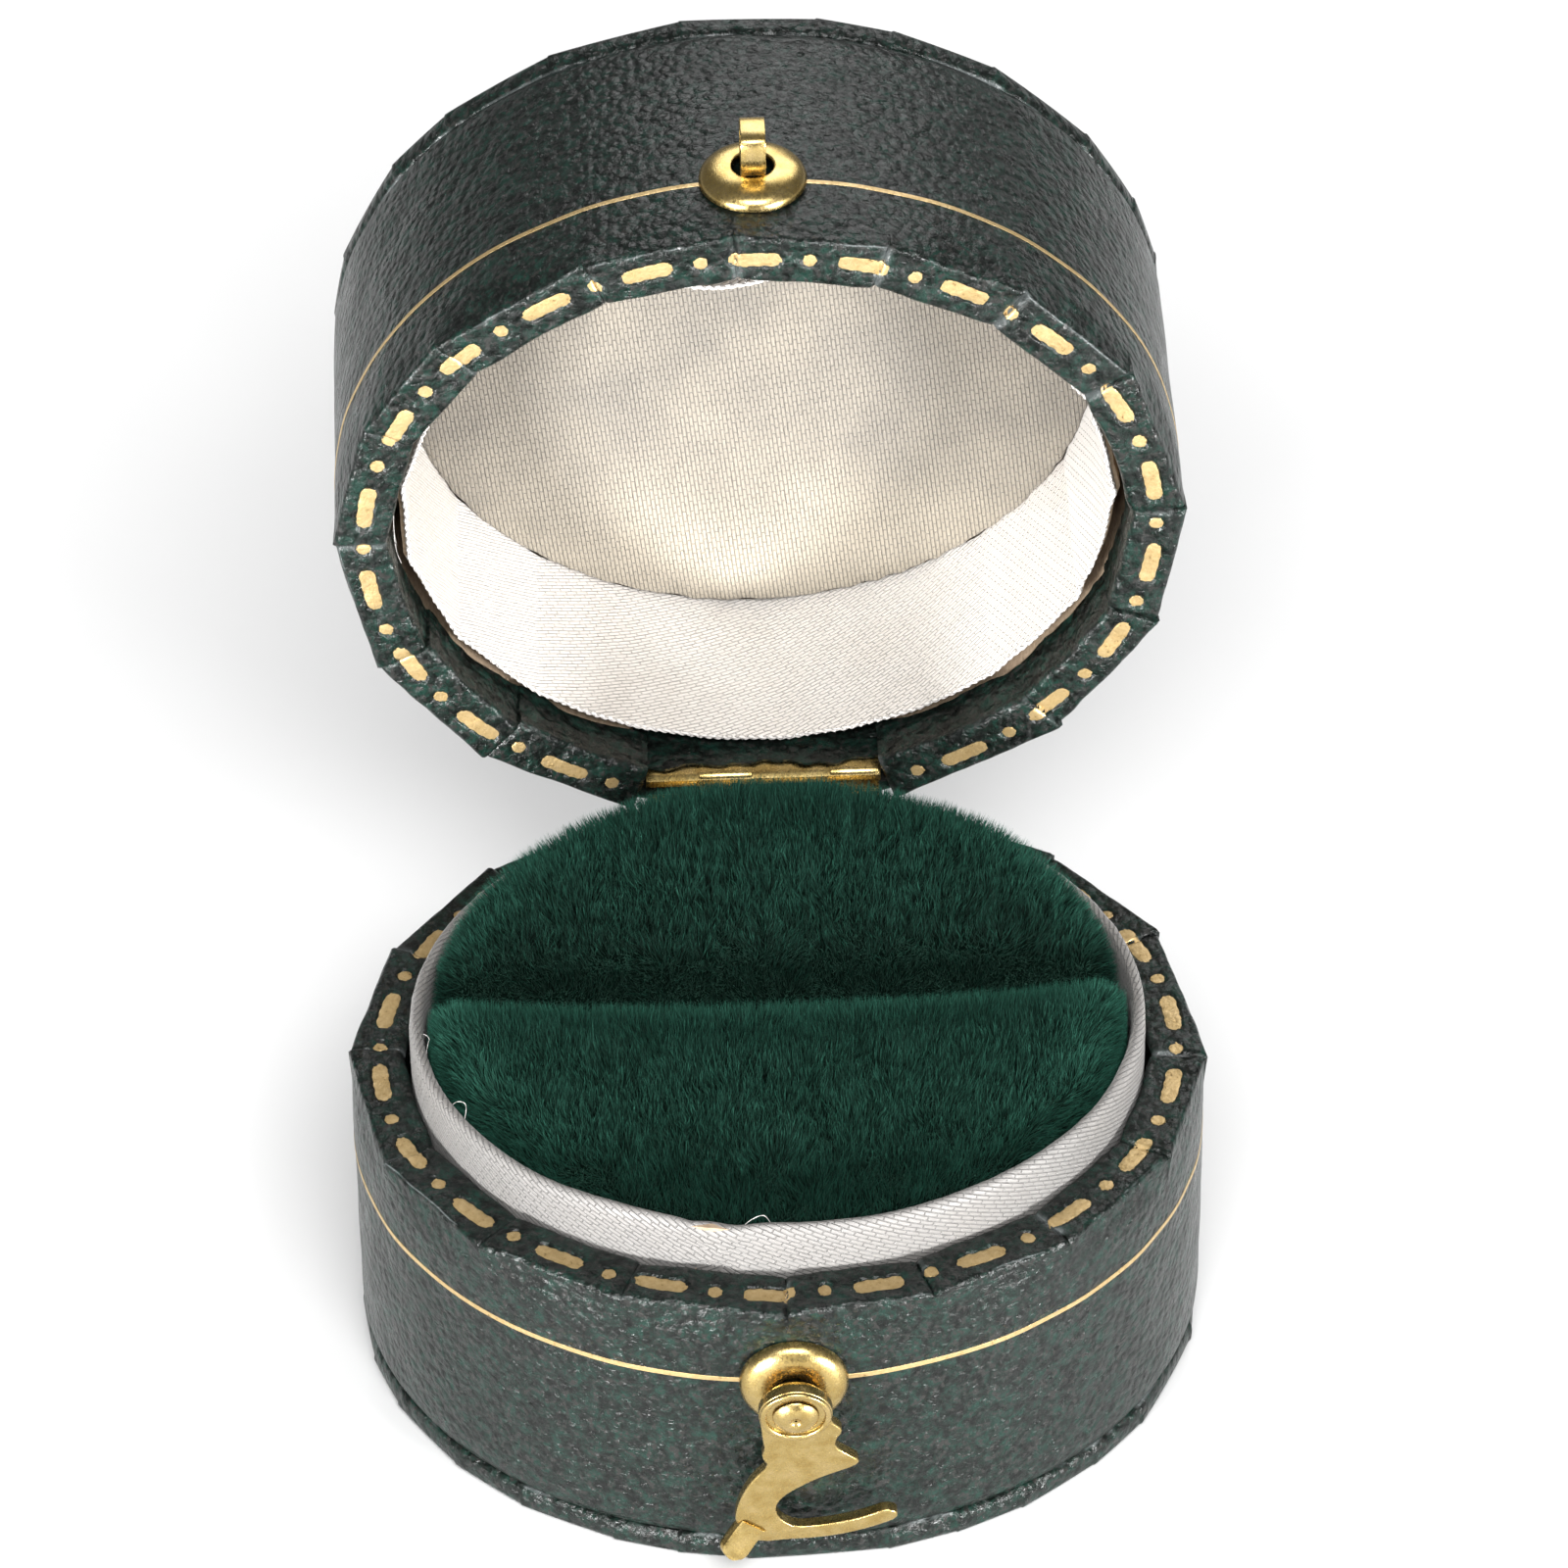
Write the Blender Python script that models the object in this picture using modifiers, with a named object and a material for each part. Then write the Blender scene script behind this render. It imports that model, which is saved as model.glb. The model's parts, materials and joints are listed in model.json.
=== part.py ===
"""Oval ring box with a hinged lid, a slit ring pad and a swinging brass hook, stored open.

Metres, +Z up. The origin is the centre of the base's underside, and +Y points to the hinge.
Every lid piece is drawn where it lies with the lid shut, and its pivot empty turns it open.
"""

import math

import bmesh
import bpy
from mathutils import Vector

MM = 0.001

# The two oval halves
HALF_WIDTH = 27.5 * MM
HALF_DEPTH = 24.4 * MM
BASE_HEIGHT = 22.5 * MM
LID_HEIGHT = 24.1 * MM
RIM_WIDTH = 3.7 * MM
LEATHER = 0.45 * MM
PANEL_EDGE = 1.8 * MM  # the wrapped top and bottom panels' thickness
PARTING_GAP = 0.3 * MM
TURN_IN = 4.0 * MM  # how far the leather runs down inside each wall
GAP = 0.2 * MM
FINE_GAP = 0.1 * MM

# The neck that the lid closes over
NECK_RISE = 3.2 * MM
NECK_INSET = RIM_WIDTH + 0.15 * MM
RIBBON = 0.15 * MM
NECK_CARD = 0.4 * MM

# The ring pad
PAD_INSET = NECK_INSET + 2 * (RIBBON + FINE_GAP) + NECK_CARD + GAP
PILE = 0.8 * MM
SLIT = 0.3 * MM
PAD_CARD = 0.8 * MM
FRONT_CREST = 3.4 * MM  # heights over the rim
FRONT_EDGE = 1.0 * MM
REAR_SLIT_EDGE = 2.6 * MM
REAR_CROWN = 6.0 * MM
FRONT_SIDE_FALL = 0.6 * MM  # how much lower each crest is at the oval's sides
REAR_SIDE_FALL = 2.6 * MM
PAD_SHOULDER = 1.2 * MM

# The lid's lining
HOOP_TOP = 3.8 * MM  # from the lid's rim
HOOP_CARD = 0.3 * MM
SATIN = 0.25 * MM
SATIN_DEPTH = 16.7 * MM
LINING_CARD = 1.0 * MM
FACE_CROWN = 0.5 * MM  # how far the padded disc stands out in its middle

# The hinge
HINGE_Y = 23.0 * MM
OPEN_ANGLE = 90
HINGE_WIDTH = 16.0 * MM
NOTCH_WIDTH = 17.4 * MM
NOTCH_DEPTH = 1.65 * MM  # from the hinge axis
BARREL_RADIUS = 1.1 * MM
PIN_RADIUS = 0.45 * MM
BORE_RADIUS = 0.53 * MM
LEAF = 0.4 * MM
LEAF_DEPTH = 6.5 * MM
LEAF_BACK = 21.1 * MM
LEAF_STAND = 0.15 * MM  # between a leaf's shelf and the barrel it turns round
KNUCKLE_ENDS = [-8.0 * MM, -4.4 * MM, -0.6 * MM, 4.3 * MM, 8.0 * MM]
KNUCKLE_GAP = 0.15 * MM

# The latch and its catch
CATCH_DROP = 6.1 * MM  # from each rim to its rosette's centre
ROSETTE_RADIUS = 3.45 * MM
ROSETTE_HEIGHT = 1.25 * MM
ROSETTE_HOLE = 1.4 * MM
ROSETTE_SHEET = 0.35 * MM
RIVET_TILT = 6  # degrees that the rivet droops, so that the hook leans to the wall
RIVET_RADIUS = 0.8 * MM
RIVET_HEAD_RADIUS = 1.45 * MM
RIVET_HEAD = 0.45 * MM
RIVET_TAIL_RADIUS = 1.2 * MM
RIVET_HOLE_RADIUS = 1.15 * MM
STAPLE_HOLE_RADIUS = 1.5 * MM
BURR_RADIUS = 1.6 * MM
BURR_SHEET = 0.3 * MM
HOOK_BORE = 0.88 * MM
HOOK_BACK = 2.1 * MM  # over the wall, along the rivet
HOOK_SHEET = 0.8 * MM
HOOK_EYE_RADIUS = 2.35 * MM
HOOK_BOSS_RADIUS = 1.95 * MM
FINGER_REACH = 11.9 * MM  # from the rivet to the finger's middle
FINGER_WIDTH = 1.2 * MM
TAB_FOOT = (-3.0 * MM, -11.6 * MM)
TAB_WIDTH = 1.6 * MM
TAB_LENGTH = 3.4 * MM
TAB_SHEET = 0.75 * MM
TAB_BEND = 32  # degrees out of the hook's plane
TAB_SPLAY = 38  # degrees to the left of straight down
STRIP_WIDTH = 1.6 * MM
STRIP_SHEET = 0.35 * MM

# Worked out from these
OVAL_MEAN = (HALF_WIDTH + HALF_DEPTH) / 2
OVAL_SHIFT = (HALF_WIDTH - HALF_DEPTH) / 2
LID_RIM = BASE_HEIGHT + PARTING_GAP
LID_TOP = LID_RIM + LID_HEIGHT
HINGE_Z = BASE_HEIGHT + PARTING_GAP / 2
BOARD_OUT = LEATHER + 0.15 * MM
BOARD_IN = RIM_WIDTH - LEATHER - GAP
NECK_TOP = BASE_HEIGHT + NECK_RISE
LATCH_Z = BASE_HEIGHT - CATCH_DROP
CATCH_Z = LID_RIM + CATCH_DROP
PAD_CARD_TOP = PANEL_EDGE + 2 * GAP + PAD_CARD
HOOK_FRONT = HOOK_BACK + HOOK_SHEET
OVAL_STEPS = 48
SMALL_STEPS = 24

LEATHER_GREEN = ((0.012, 0.030, 0.022), 0.38, 0.0)
BOARD_BROWN = ((0.35, 0.26, 0.17), 0.9, 0.0)
FOAM_CREAM = ((0.80, 0.76, 0.62), 0.95, 0.0)
PLUSH_GREEN = ((0.006, 0.060, 0.032), 0.95, 0.0)
SATIN_WHITE = ((0.86, 0.84, 0.82), 0.35, 0.0)
SATIN_CREAM = ((0.82, 0.76, 0.66), 0.4, 0.0)
BRASS = ((0.80, 0.58, 0.24), 0.28, 1.0)


# Scene, materials and small helpers


def clear_scene():
    for old in list(bpy.data.objects):
        bpy.data.objects.remove(old)
    for old in list(bpy.data.collections):
        bpy.data.collections.remove(old)


def new_collection(name):
    collection = bpy.data.collections.new(name)
    bpy.context.scene.collection.children.link(collection)
    return collection


def new_pivot(name, location, tilt):
    """An empty on a joint's axis, turned by tilt degrees about X."""
    pivot = bpy.data.objects.new(name, None)
    pivot.empty_display_size = 5 * MM
    pivot.location = location
    pivot.rotation_euler.x = math.radians(tilt)
    PARTS.objects.link(pivot)
    return pivot


def finish(mesh, name, look, parent=None):
    """The named node for a mesh, with its own material, drawn from its parent's place."""
    mesh.name = name
    node = bpy.data.objects.new(name, mesh)
    PARTS.objects.link(node)
    if parent:
        node.parent = parent
    colour, roughness, metallic = look
    material = bpy.data.materials.new(name)
    material.use_nodes = True
    shader = material.node_tree.nodes["Principled BSDF"]
    shader.inputs["Base Color"].default_value = (*colour, 1.0)
    shader.inputs["Roughness"].default_value = roughness
    shader.inputs["Metallic"].default_value = metallic
    mesh.materials.clear()
    mesh.materials.append(material)
    mesh.shade_smooth()
    mesh.set_sharp_from_angle(angle=math.radians(32))
    return node


def into_lid(node):
    """Hangs a node drawn in the closed box on the lid's pivot."""
    node.parent = LID_PIVOT
    node.location = -LID_PIVOT.location
    return node


def as_mesh(temporary):
    """The evaluated mesh of a helper object, which is then removed."""
    bpy.context.scene.collection.objects.link(temporary)
    graph = bpy.context.evaluated_depsgraph_get()
    mesh = bpy.data.meshes.new_from_object(temporary.evaluated_get(graph))
    mesh.transform(temporary.matrix_world)
    bpy.data.objects.remove(temporary)
    return mesh


def mesh_from(points, edges=(), faces=()):
    mesh = bpy.data.meshes.new("draft")
    mesh.from_pydata(points, edges, faces)
    return mesh


def tidy(mesh):
    """Welds loose caps and turns every face outwards."""
    draft = bmesh.new()
    draft.from_mesh(mesh)
    bmesh.ops.remove_doubles(draft, verts=draft.verts, dist=0.001 * MM)
    bmesh.ops.recalc_face_normals(draft, faces=draft.faces)
    draft.to_mesh(mesh)
    draft.free()
    return mesh


def cutter(mesh, name, parent=None):
    """A hidden object for Boolean modifiers."""
    tool = bpy.data.objects.new(name, mesh)
    tool.hide_render = True
    tool.display_type = "WIRE"
    tool.parent = parent
    CUTTERS.objects.link(tool)
    return tool


def combine(node, tool, operation="DIFFERENCE"):
    boolean = node.modifiers.new(tool.name, "BOOLEAN")
    boolean.operation = operation
    boolean.solver = "EXACT"
    boolean.object = tool
    return node


# Shapes


def turned(profile, steps, closed=False, sweep=360):
    """A profile of (radius, height) turned about Z. Its outer side runs from top to bottom."""
    points = [(radius, 0, height) for radius, height in profile]
    count = len(points)
    edges = [(i, (i + 1) % count) for i in range(count if closed else count - 1)]
    temporary = bpy.data.objects.new("draft", mesh_from(points, edges))
    screw = temporary.modifiers.new("turn", "SCREW")
    screw.axis = "Z"
    screw.angle = math.radians(sweep)
    screw.steps = steps
    screw.render_steps = steps
    screw.use_merge_vertices = True
    screw.merge_threshold = 0.00001
    return as_mesh(temporary)


def oval(profile, closed=False):
    """A turned mesh stretched to the box's oval, so that its wall keeps one thickness all round."""
    mesh = turned(profile, OVAL_STEPS, closed)
    for vertex in mesh.vertices:
        radius = math.hypot(vertex.co.x, vertex.co.y)
        if radius > GAP:
            vertex.co.x += OVAL_SHIFT * vertex.co.x / radius
            vertex.co.y -= OVAL_SHIFT * vertex.co.y / radius
    return mesh


def oval_band(outer, inner, top, bottom):
    """A band between two insets from the box's outside."""
    out, inside = OVAL_MEAN - outer, OVAL_MEAN - inner
    return oval([(out, top), (out, bottom), (inside, bottom), (inside, top)], closed=True)


def oval_disc(inset, top, bottom):
    radius = OVAL_MEAN - inset
    return oval([(0, top), (radius, top), (radius, bottom), (0, bottom)])


def hooked_band(outer, thickness, inner, rim, skirt, turn_in):
    """A skin over a rim: down the outside to skirt and down the inside to turn_in.

    rim may lie over or under skirt, so the same skin serves the base and the lid.
    """
    under = rim - math.copysign(thickness, rim - skirt)
    out, inside = OVAL_MEAN - outer, OVAL_MEAN - inner
    profile = [
        (out, rim),
        (out, skirt),
        (out - thickness, skirt),
        (out - thickness, under),
        (inside + thickness, under),
        (inside + thickness, turn_in),
        (inside, turn_in),
        (inside, rim),
    ]
    return tidy(oval(profile, closed=True))


def oval_cup(inset, thickness, floor, lip):
    """A thin cup: a flat floor with a wall up, or down, to lip."""
    inner_floor = floor - math.copysign(thickness, floor - lip)
    radius = OVAL_MEAN - inset
    profile = [
        (0, floor),
        (radius, floor),
        (radius, lip),
        (radius - thickness, lip),
        (radius - thickness, inner_floor),
        (0, inner_floor),
    ]
    return tidy(oval(profile))


def block(low, high):
    """A box between two corners."""
    draft = bmesh.new()
    bmesh.ops.create_cube(draft, size=1)
    for vertex in draft.verts:
        vertex.co = [a + (b - a) * (c + 0.5) for a, b, c in zip(low, high, vertex.co)]
    mesh = bpy.data.meshes.new("block")
    draft.to_mesh(mesh)
    draft.free()
    return mesh


def rod(start, length, radius, turn):
    """A cylinder from start along Z, first turned by (x, y) degrees."""
    draft = bmesh.new()
    bmesh.ops.create_cone(
        draft,
        cap_ends=True,
        segments=SMALL_STEPS,
        radius1=radius,
        radius2=radius,
        depth=length,
    )
    mesh = bpy.data.meshes.new("rod")
    draft.to_mesh(mesh)
    draft.free()
    holder = bpy.data.objects.new("holder", mesh)
    holder.rotation_euler = (math.radians(turn[0]), math.radians(turn[1]), 0)
    middle = Vector((0, 0, length / 2))
    middle.rotate(holder.rotation_euler)
    holder.location = Vector(start) + middle
    bpy.context.scene.collection.objects.link(holder)
    bpy.context.view_layer.update()
    mesh.transform(holder.matrix_world)
    bpy.data.objects.remove(holder)
    return mesh


# The base and the lid


def hinge_notch(name):
    """The gap across both rims that the hinge's barrel lies in."""
    half = NOTCH_WIDTH / 2
    low = (-half, HALF_DEPTH - 2 * RIM_WIDTH, HINGE_Z - NOTCH_DEPTH)
    high = (half, HALF_DEPTH + RIM_WIDTH, HINGE_Z + NOTCH_DEPTH)
    return cutter(block(low, high), name)


def leaf_recess(name):
    """The flat recess inside both walls that the leaves lie in."""
    half = NOTCH_WIDTH / 2
    reach = LEAF_DEPTH + 2 * GAP
    low = (-half, HALF_DEPTH - 2 * RIM_WIDTH, HINGE_Z - reach)
    high = (half, LEAF_BACK + GAP, HINGE_Z + reach)
    return cutter(block(low, high), name)


def base_shell():
    """The base's wall and bottom panel, each a board wrapped in leather."""
    top = BASE_HEIGHT
    wall_foot = PANEL_EDGE + GAP
    wall = finish(
        oval_band(BOARD_OUT, BOARD_IN, top - BOARD_OUT, wall_foot), "base_wall", BOARD_BROWN
    )
    cover = finish(
        hooked_band(0, LEATHER, RIM_WIDTH, top, wall_foot, top - TURN_IN),
        "base_wall_cover",
        LEATHER_GREEN,
    )
    for node in (wall, cover):
        for tool in BASE_CUTS:
            combine(node, tool)
    finish(oval_disc(BOARD_OUT, PANEL_EDGE, BOARD_OUT), "base_bottom_board", BOARD_BROWN)
    finish(oval_cup(0, LEATHER, 0, PANEL_EDGE), "base_bottom_cover", LEATHER_GREEN)


def lid_shell():
    """The lid's wall and top panel, each a board wrapped in leather."""
    wall_head = LID_TOP - PANEL_EDGE - GAP
    wall = finish(
        oval_band(BOARD_OUT, BOARD_IN, wall_head, LID_RIM + BOARD_OUT), "lid_wall", BOARD_BROWN
    )
    cover = finish(
        hooked_band(0, LEATHER, RIM_WIDTH, LID_RIM, wall_head, LID_RIM + TURN_IN),
        "lid_wall_cover",
        LEATHER_GREEN,
    )
    board = finish(
        oval_disc(BOARD_OUT, LID_TOP - BOARD_OUT, LID_TOP - PANEL_EDGE),
        "lid_top_board",
        BOARD_BROWN,
    )
    top = finish(
        oval_cup(0, LEATHER, LID_TOP, LID_TOP - PANEL_EDGE), "lid_top_cover", LEATHER_GREEN
    )
    for node in (wall, cover, board, top):
        into_lid(node)
    for node in (wall, cover):
        for tool in LID_CUTS:
            combine(node, tool)


def neck():
    """The card ring that stands out of the base, and the ribbon folded over its edge."""
    card_out = NECK_INSET + RIBBON + FINE_GAP
    card_in = card_out + NECK_CARD
    card_top = NECK_TOP - RIBBON - FINE_GAP
    finish(
        oval_band(card_out, card_in, card_top, PANEL_EDGE + GAP), "neck_card_ring", BOARD_BROWN
    )
    skirt = BASE_HEIGHT - TURN_IN / 2
    ribbon = hooked_band(
        NECK_INSET,
        RIBBON,
        card_in + FINE_GAP + RIBBON,
        NECK_TOP,
        skirt,
        BASE_HEIGHT - TURN_IN,
    )
    finish(ribbon, "neck_ribbon", SATIN_WHITE)


def lid_lining():
    """The ribbon hoop, and the satin disc wrapped over wadding on a card."""
    ceiling = LID_TOP - PANEL_EDGE - GAP
    card_out = NECK_INSET
    card_in = card_out + HOOP_CARD
    disc_inset = card_in + FINE_GAP + RIBBON + GAP
    card_foot = ceiling - LINING_CARD
    face = LID_RIM + SATIN_DEPTH
    hoop_head = card_foot - GAP
    card_hoop = oval_band(card_out, card_in, hoop_head, LID_RIM + HOOP_TOP + 2 * GAP)
    satin_hoop = oval_band(
        card_in + FINE_GAP, card_in + FINE_GAP + RIBBON, hoop_head, LID_RIM + HOOP_TOP
    )
    wadding_radius = OVAL_MEAN - disc_inset - SATIN - GAP
    wadding = oval(
        [
            (0, card_foot - GAP),
            (wadding_radius, card_foot - GAP),
            (wadding_radius, face + FACE_CROWN + SATIN + GAP),
            (wadding_radius * 0.6, face + SATIN + GAP),
            (0, face + SATIN + GAP),
        ]
    )
    radius = OVAL_MEAN - disc_inset
    satin = oval(
        [
            (0, face + SATIN),
            (radius * 0.6, face + SATIN),
            (radius - SATIN, face + FACE_CROWN + SATIN),
            (radius - SATIN, card_foot - GAP),
            (radius, card_foot - GAP),
            (radius, face + FACE_CROWN),
            (radius * 0.6, face),
            (0, face),
        ]
    )
    pieces = (
        (oval_disc(card_out, ceiling, card_foot), "lid_lining_card", BOARD_BROWN),
        (wadding, "lid_wadding", FOAM_CREAM),
        (tidy(satin), "lid_lining_satin", SATIN_CREAM),
        (card_hoop, "lid_ribbon_card", BOARD_BROWN),
        (satin_hoop, "lid_ribbon", SATIN_WHITE),
    )
    for mesh, name, look in pieces:
        into_lid(finish(mesh, name, look))


# The ring pad


def pad_rise(side, x, y):
    """How far a pad half stands over the base's rim. side is -1 for the front half."""
    away = min(abs(y) / (HALF_DEPTH - PAD_INSET), 1)
    across = (x / (HALF_WIDTH - PAD_INSET)) ** 2
    if side < 0:
        return FRONT_CREST + (FRONT_EDGE - FRONT_CREST) * away**1.5 - FRONT_SIDE_FALL * across
    swell = math.sin(min(away / 0.75, 1) * math.pi / 2)
    return REAR_SLIT_EDGE + (REAR_CROWN - REAR_SLIT_EDGE) * swell - REAR_SIDE_FALL * across


def pad_half(side, inset, drop, foot, solid):
    """Half of the pad's oval: a half turn, its slit face filled, its top raised to the crown."""
    radius = OVAL_MEAN - PAD_INSET - inset
    profile = [
        (0, 0),
        (radius * 0.4, 0),
        (radius * 0.7, 0),
        (radius - PAD_SHOULDER, 0),
        (radius - PAD_SHOULDER * 0.3, -PAD_SHOULDER * 0.35),
        (radius, -PAD_SHOULDER * 1.2),
        (radius, foot - BASE_HEIGHT),
    ]
    if solid:
        profile.append((0, foot - BASE_HEIGHT))
    mesh = turned(profile, OVAL_STEPS // 2, sweep=180)
    draft = bmesh.new()
    draft.from_mesh(mesh)
    bmesh.ops.remove_doubles(draft, verts=draft.verts, dist=0.001 * MM)
    flat = [vertex for vertex in draft.verts if abs(vertex.co.y) < FINE_GAP]
    middle = foot - BASE_HEIGHT
    flat.sort(key=lambda vertex: math.atan2(vertex.co.z - middle * 0.6, vertex.co.x))
    draft.faces.new(flat)
    slit = SLIT / 2 + inset
    for vertex in draft.verts:
        spot = vertex.co
        reach = math.hypot(spot.x, spot.y)
        if reach > GAP:
            spot.x += OVAL_SHIFT * spot.x / reach
            spot.y = max(spot.y - OVAL_SHIFT * spot.y / reach, slit)
        else:
            spot.y = slit
        spot.y *= side
        if spot.z > middle * 0.5:
            spot.z += pad_rise(side, spot.x, spot.y) - drop
        spot.z += BASE_HEIGHT
    bmesh.ops.recalc_face_normals(draft, faces=draft.faces)
    if draft.calc_volume(signed=True) < 0:
        bmesh.ops.reverse_faces(draft, faces=draft.faces)
    draft.to_mesh(mesh)
    draft.free()
    return mesh


def ring_pad():
    """Two foam halves wrapped in plush, standing on a card, with a slit between them."""
    card_inset = PAD_INSET
    finish(oval_disc(card_inset, PAD_CARD_TOP, PAD_CARD_TOP - PAD_CARD), "pad_card", BOARD_BROWN)
    foot = PAD_CARD_TOP + GAP
    core = PILE + GAP
    for side, place in ((-1, "front"), (1, "rear")):
        finish(pad_half(side, core, core, foot, True), f"pad_foam_{place}", FOAM_CREAM)
        plush = finish(pad_half(side, 0, 0, foot, False), f"pad_velvet_{place}", PLUSH_GREEN)
        skin = plush.modifiers.new("pile", "SOLIDIFY")
        skin.thickness = PILE
        skin.offset = -1
        skin.use_even_offset = True


# The hinge


def hinge_leaf(name, direction, own_knuckles):
    """A leaf bent down inside the wall, with a knuckle at each of its places on the barrel."""
    half = HINGE_WIDTH / 2
    plate_top = HINGE_Z + direction * (BARREL_RADIUS + LEAF_STAND)
    plate_under = plate_top - direction * LEAF
    level = sorted((plate_top, plate_under))
    fall = sorted((plate_under, HINGE_Z + direction * LEAF_DEPTH))
    shelf_back = HINGE_Y - BARREL_RADIUS - GAP
    front = LEAF_BACK - LEAF
    node = finish(block((-half, front, fall[0]), (half, LEAF_BACK, fall[1])), name, BRASS)
    shelf = block((-half, front, level[0]), (half, shelf_back, level[1]))
    combine(node, cutter(shelf, name + "_shelf"), "UNION")
    for index in own_knuckles:
        start, end = KNUCKLE_ENDS[index], KNUCKLE_ENDS[index + 1] - KNUCKLE_GAP
        web = block((start, shelf_back - LEAF, level[0]), (end, HINGE_Y, level[1]))
        barrel = rod((start, HINGE_Y, HINGE_Z), end - start, BARREL_RADIUS, (0, 90))
        combine(node, cutter(web, f"{name}_web_{index}"), "UNION")
        combine(node, cutter(barrel, f"{name}_barrel_{index}"), "UNION")
    bore = rod((-half - GAP, HINGE_Y, HINGE_Z), HINGE_WIDTH + 2 * GAP, BORE_RADIUS, (0, 90))
    return combine(node, cutter(bore, name + "_bore"))


def hinge():
    hinge_leaf("hinge_leaf_base", -1, (0, 2))
    lid_leaf = into_lid(hinge_leaf("hinge_leaf_lid", 1, (1, 3)))
    for boolean in lid_leaf.modifiers:
        into_lid(boolean.object)
    start = (-HINGE_WIDTH / 2 + FINE_GAP, HINGE_Y, HINGE_Z)
    pin = rod(start, HINGE_WIDTH - 4 * FINE_GAP, PIN_RADIUS, (0, 90))
    finish(pin, "hinge_pin", BRASS)


# The latch and the catch, both drawn on a frame whose Z points straight out of the wall


def rosette():
    """A domed washer of thin sheet with a hole in its crown."""
    foot = FINE_GAP
    rise = ROSETTE_HEIGHT - foot
    spread = ROSETTE_RADIUS - ROSETTE_HOLE
    turns = [math.pi / 2 * i / 5 for i in range(6)]
    outer = [
        (ROSETTE_HOLE + spread * math.sin(a), foot + rise * math.cos(a) ** 0.8) for a in turns
    ]
    outer[-1] = (ROSETTE_RADIUS, foot)
    inner = [
        (
            ROSETTE_HOLE + (spread - ROSETTE_SHEET) * math.sin(a),
            foot + (rise - ROSETTE_SHEET) * math.cos(a) ** 0.8,
        )
        for a in reversed(turns)
    ]
    inner[0] = (ROSETTE_RADIUS - ROSETTE_SHEET, foot)
    return tidy(turned(outer + inner, SMALL_STEPS, closed=True))


def latch_fixed():
    """The rosette, the tubular rivet that holds the hook, and the burr it is clenched over."""
    finish(rosette(), "latch_rosette", BRASS, LATCH_FRAME)
    head_foot = HOOK_FRONT + FINE_GAP
    head_top = head_foot + RIVET_HEAD
    tail = -RIM_WIDTH - FINE_GAP
    profile = [
        (0, head_foot - RIVET_HEAD),
        (RIVET_RADIUS * 0.6, head_foot - RIVET_HEAD),
        (RIVET_RADIUS * 0.8, head_top - FINE_GAP),
        (RIVET_RADIUS * 1.1, head_top),
        (RIVET_HEAD_RADIUS - FINE_GAP, head_top - FINE_GAP),
        (RIVET_HEAD_RADIUS, head_foot + FINE_GAP),
        (RIVET_HEAD_RADIUS - FINE_GAP, head_foot),
        (RIVET_RADIUS, head_foot),
        (RIVET_RADIUS, tail + 2 * FINE_GAP),
        (RIVET_TAIL_RADIUS, tail + FINE_GAP),
        (RIVET_TAIL_RADIUS, tail),
        (0, tail),
    ]
    finish(turned(profile, SMALL_STEPS), "latch_rivet", BRASS, HOOK_PIVOT)
    burr_top = -BOARD_IN - FINE_GAP
    burr_foot = burr_top - BURR_SHEET
    profile = [
        (BURR_RADIUS, burr_top),
        (BURR_RADIUS, burr_foot),
        (RIVET_HOLE_RADIUS, burr_foot),
        (RIVET_HOLE_RADIUS, burr_top),
    ]
    ring = turned(profile, SMALL_STEPS, closed=True)
    burr = finish(ring, "latch_burr", BRASS, LATCH_FRAME)
    burr.location.y = RIM_WIDTH * math.sin(math.radians(RIVET_TILT))


def arc(radius, start, end, count):
    """Points round the rivet, with angles in degrees from straight down towards +X."""
    steps = [math.radians(start + (end - start) * i / (count - 1)) for i in range(count)]
    return [(radius * math.sin(a), -radius * math.cos(a)) for a in steps]


def in_mm(*points):
    return [(x * MM, y * MM) for x, y in points]


def hook_outline():
    """The hook's outline round the rivet: eye, shoulder, upper prong, mouth, finger and back."""
    half = FINGER_WIDTH / 2
    eye = arc(HOOK_EYE_RADIUS, 290, 70, 13)
    shoulder = in_mm((2.85, -1.6), (2.8, -2.2), (2.5, -3.2))
    prong = in_mm((3.3, -4.1), (4.0, -4.8), (3.7, -5.2), (2.6, -5.8), (1.4, -6.4), (0.4, -7.1))
    mouth = in_mm((-0.6, -7.9), (-1.2, -8.8), (-1.3, -9.7), (-0.9, -10.6))
    finger_inside = arc(FINGER_REACH - half, 0, 30, 6)
    finger_tip = arc(FINGER_REACH, 32.5, 32.5, 2)[:1]
    finger_outside = arc(FINGER_REACH + half, 31, -2, 7)
    back = in_mm((-2.3, -12.7), (-3.2, -12.0), (-3.9, -10.6), (-3.8, -9.3), (-3.4, -7.8))
    waist = in_mm((-2.7, -6.3), (-1.7, -5.0), (-2.1, -3.6), (-1.95, -2.8))
    finger = finger_inside + finger_tip + finger_outside
    return eye + shoulder + prong + mouth + finger + back + waist


def plate(outline, thickness, height):
    """A flat outline extruded to a plate with its back at height."""
    curve = bpy.data.curves.new("outline", "CURVE")
    curve.dimensions = "2D"
    curve.fill_mode = "BOTH"
    curve.extrude = thickness / 2
    spline = curve.splines.new("POLY")
    spline.points.add(len(outline) - 1)
    for point, (x, y) in zip(spline.points, outline):
        point.co = (x, y, 0, 1)
    spline.use_cyclic_u = True
    temporary = bpy.data.objects.new("outline", curve)
    temporary.location.z = height + thickness / 2
    mesh = as_mesh(temporary)
    bpy.data.curves.remove(curve)
    return tidy(mesh)


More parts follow.
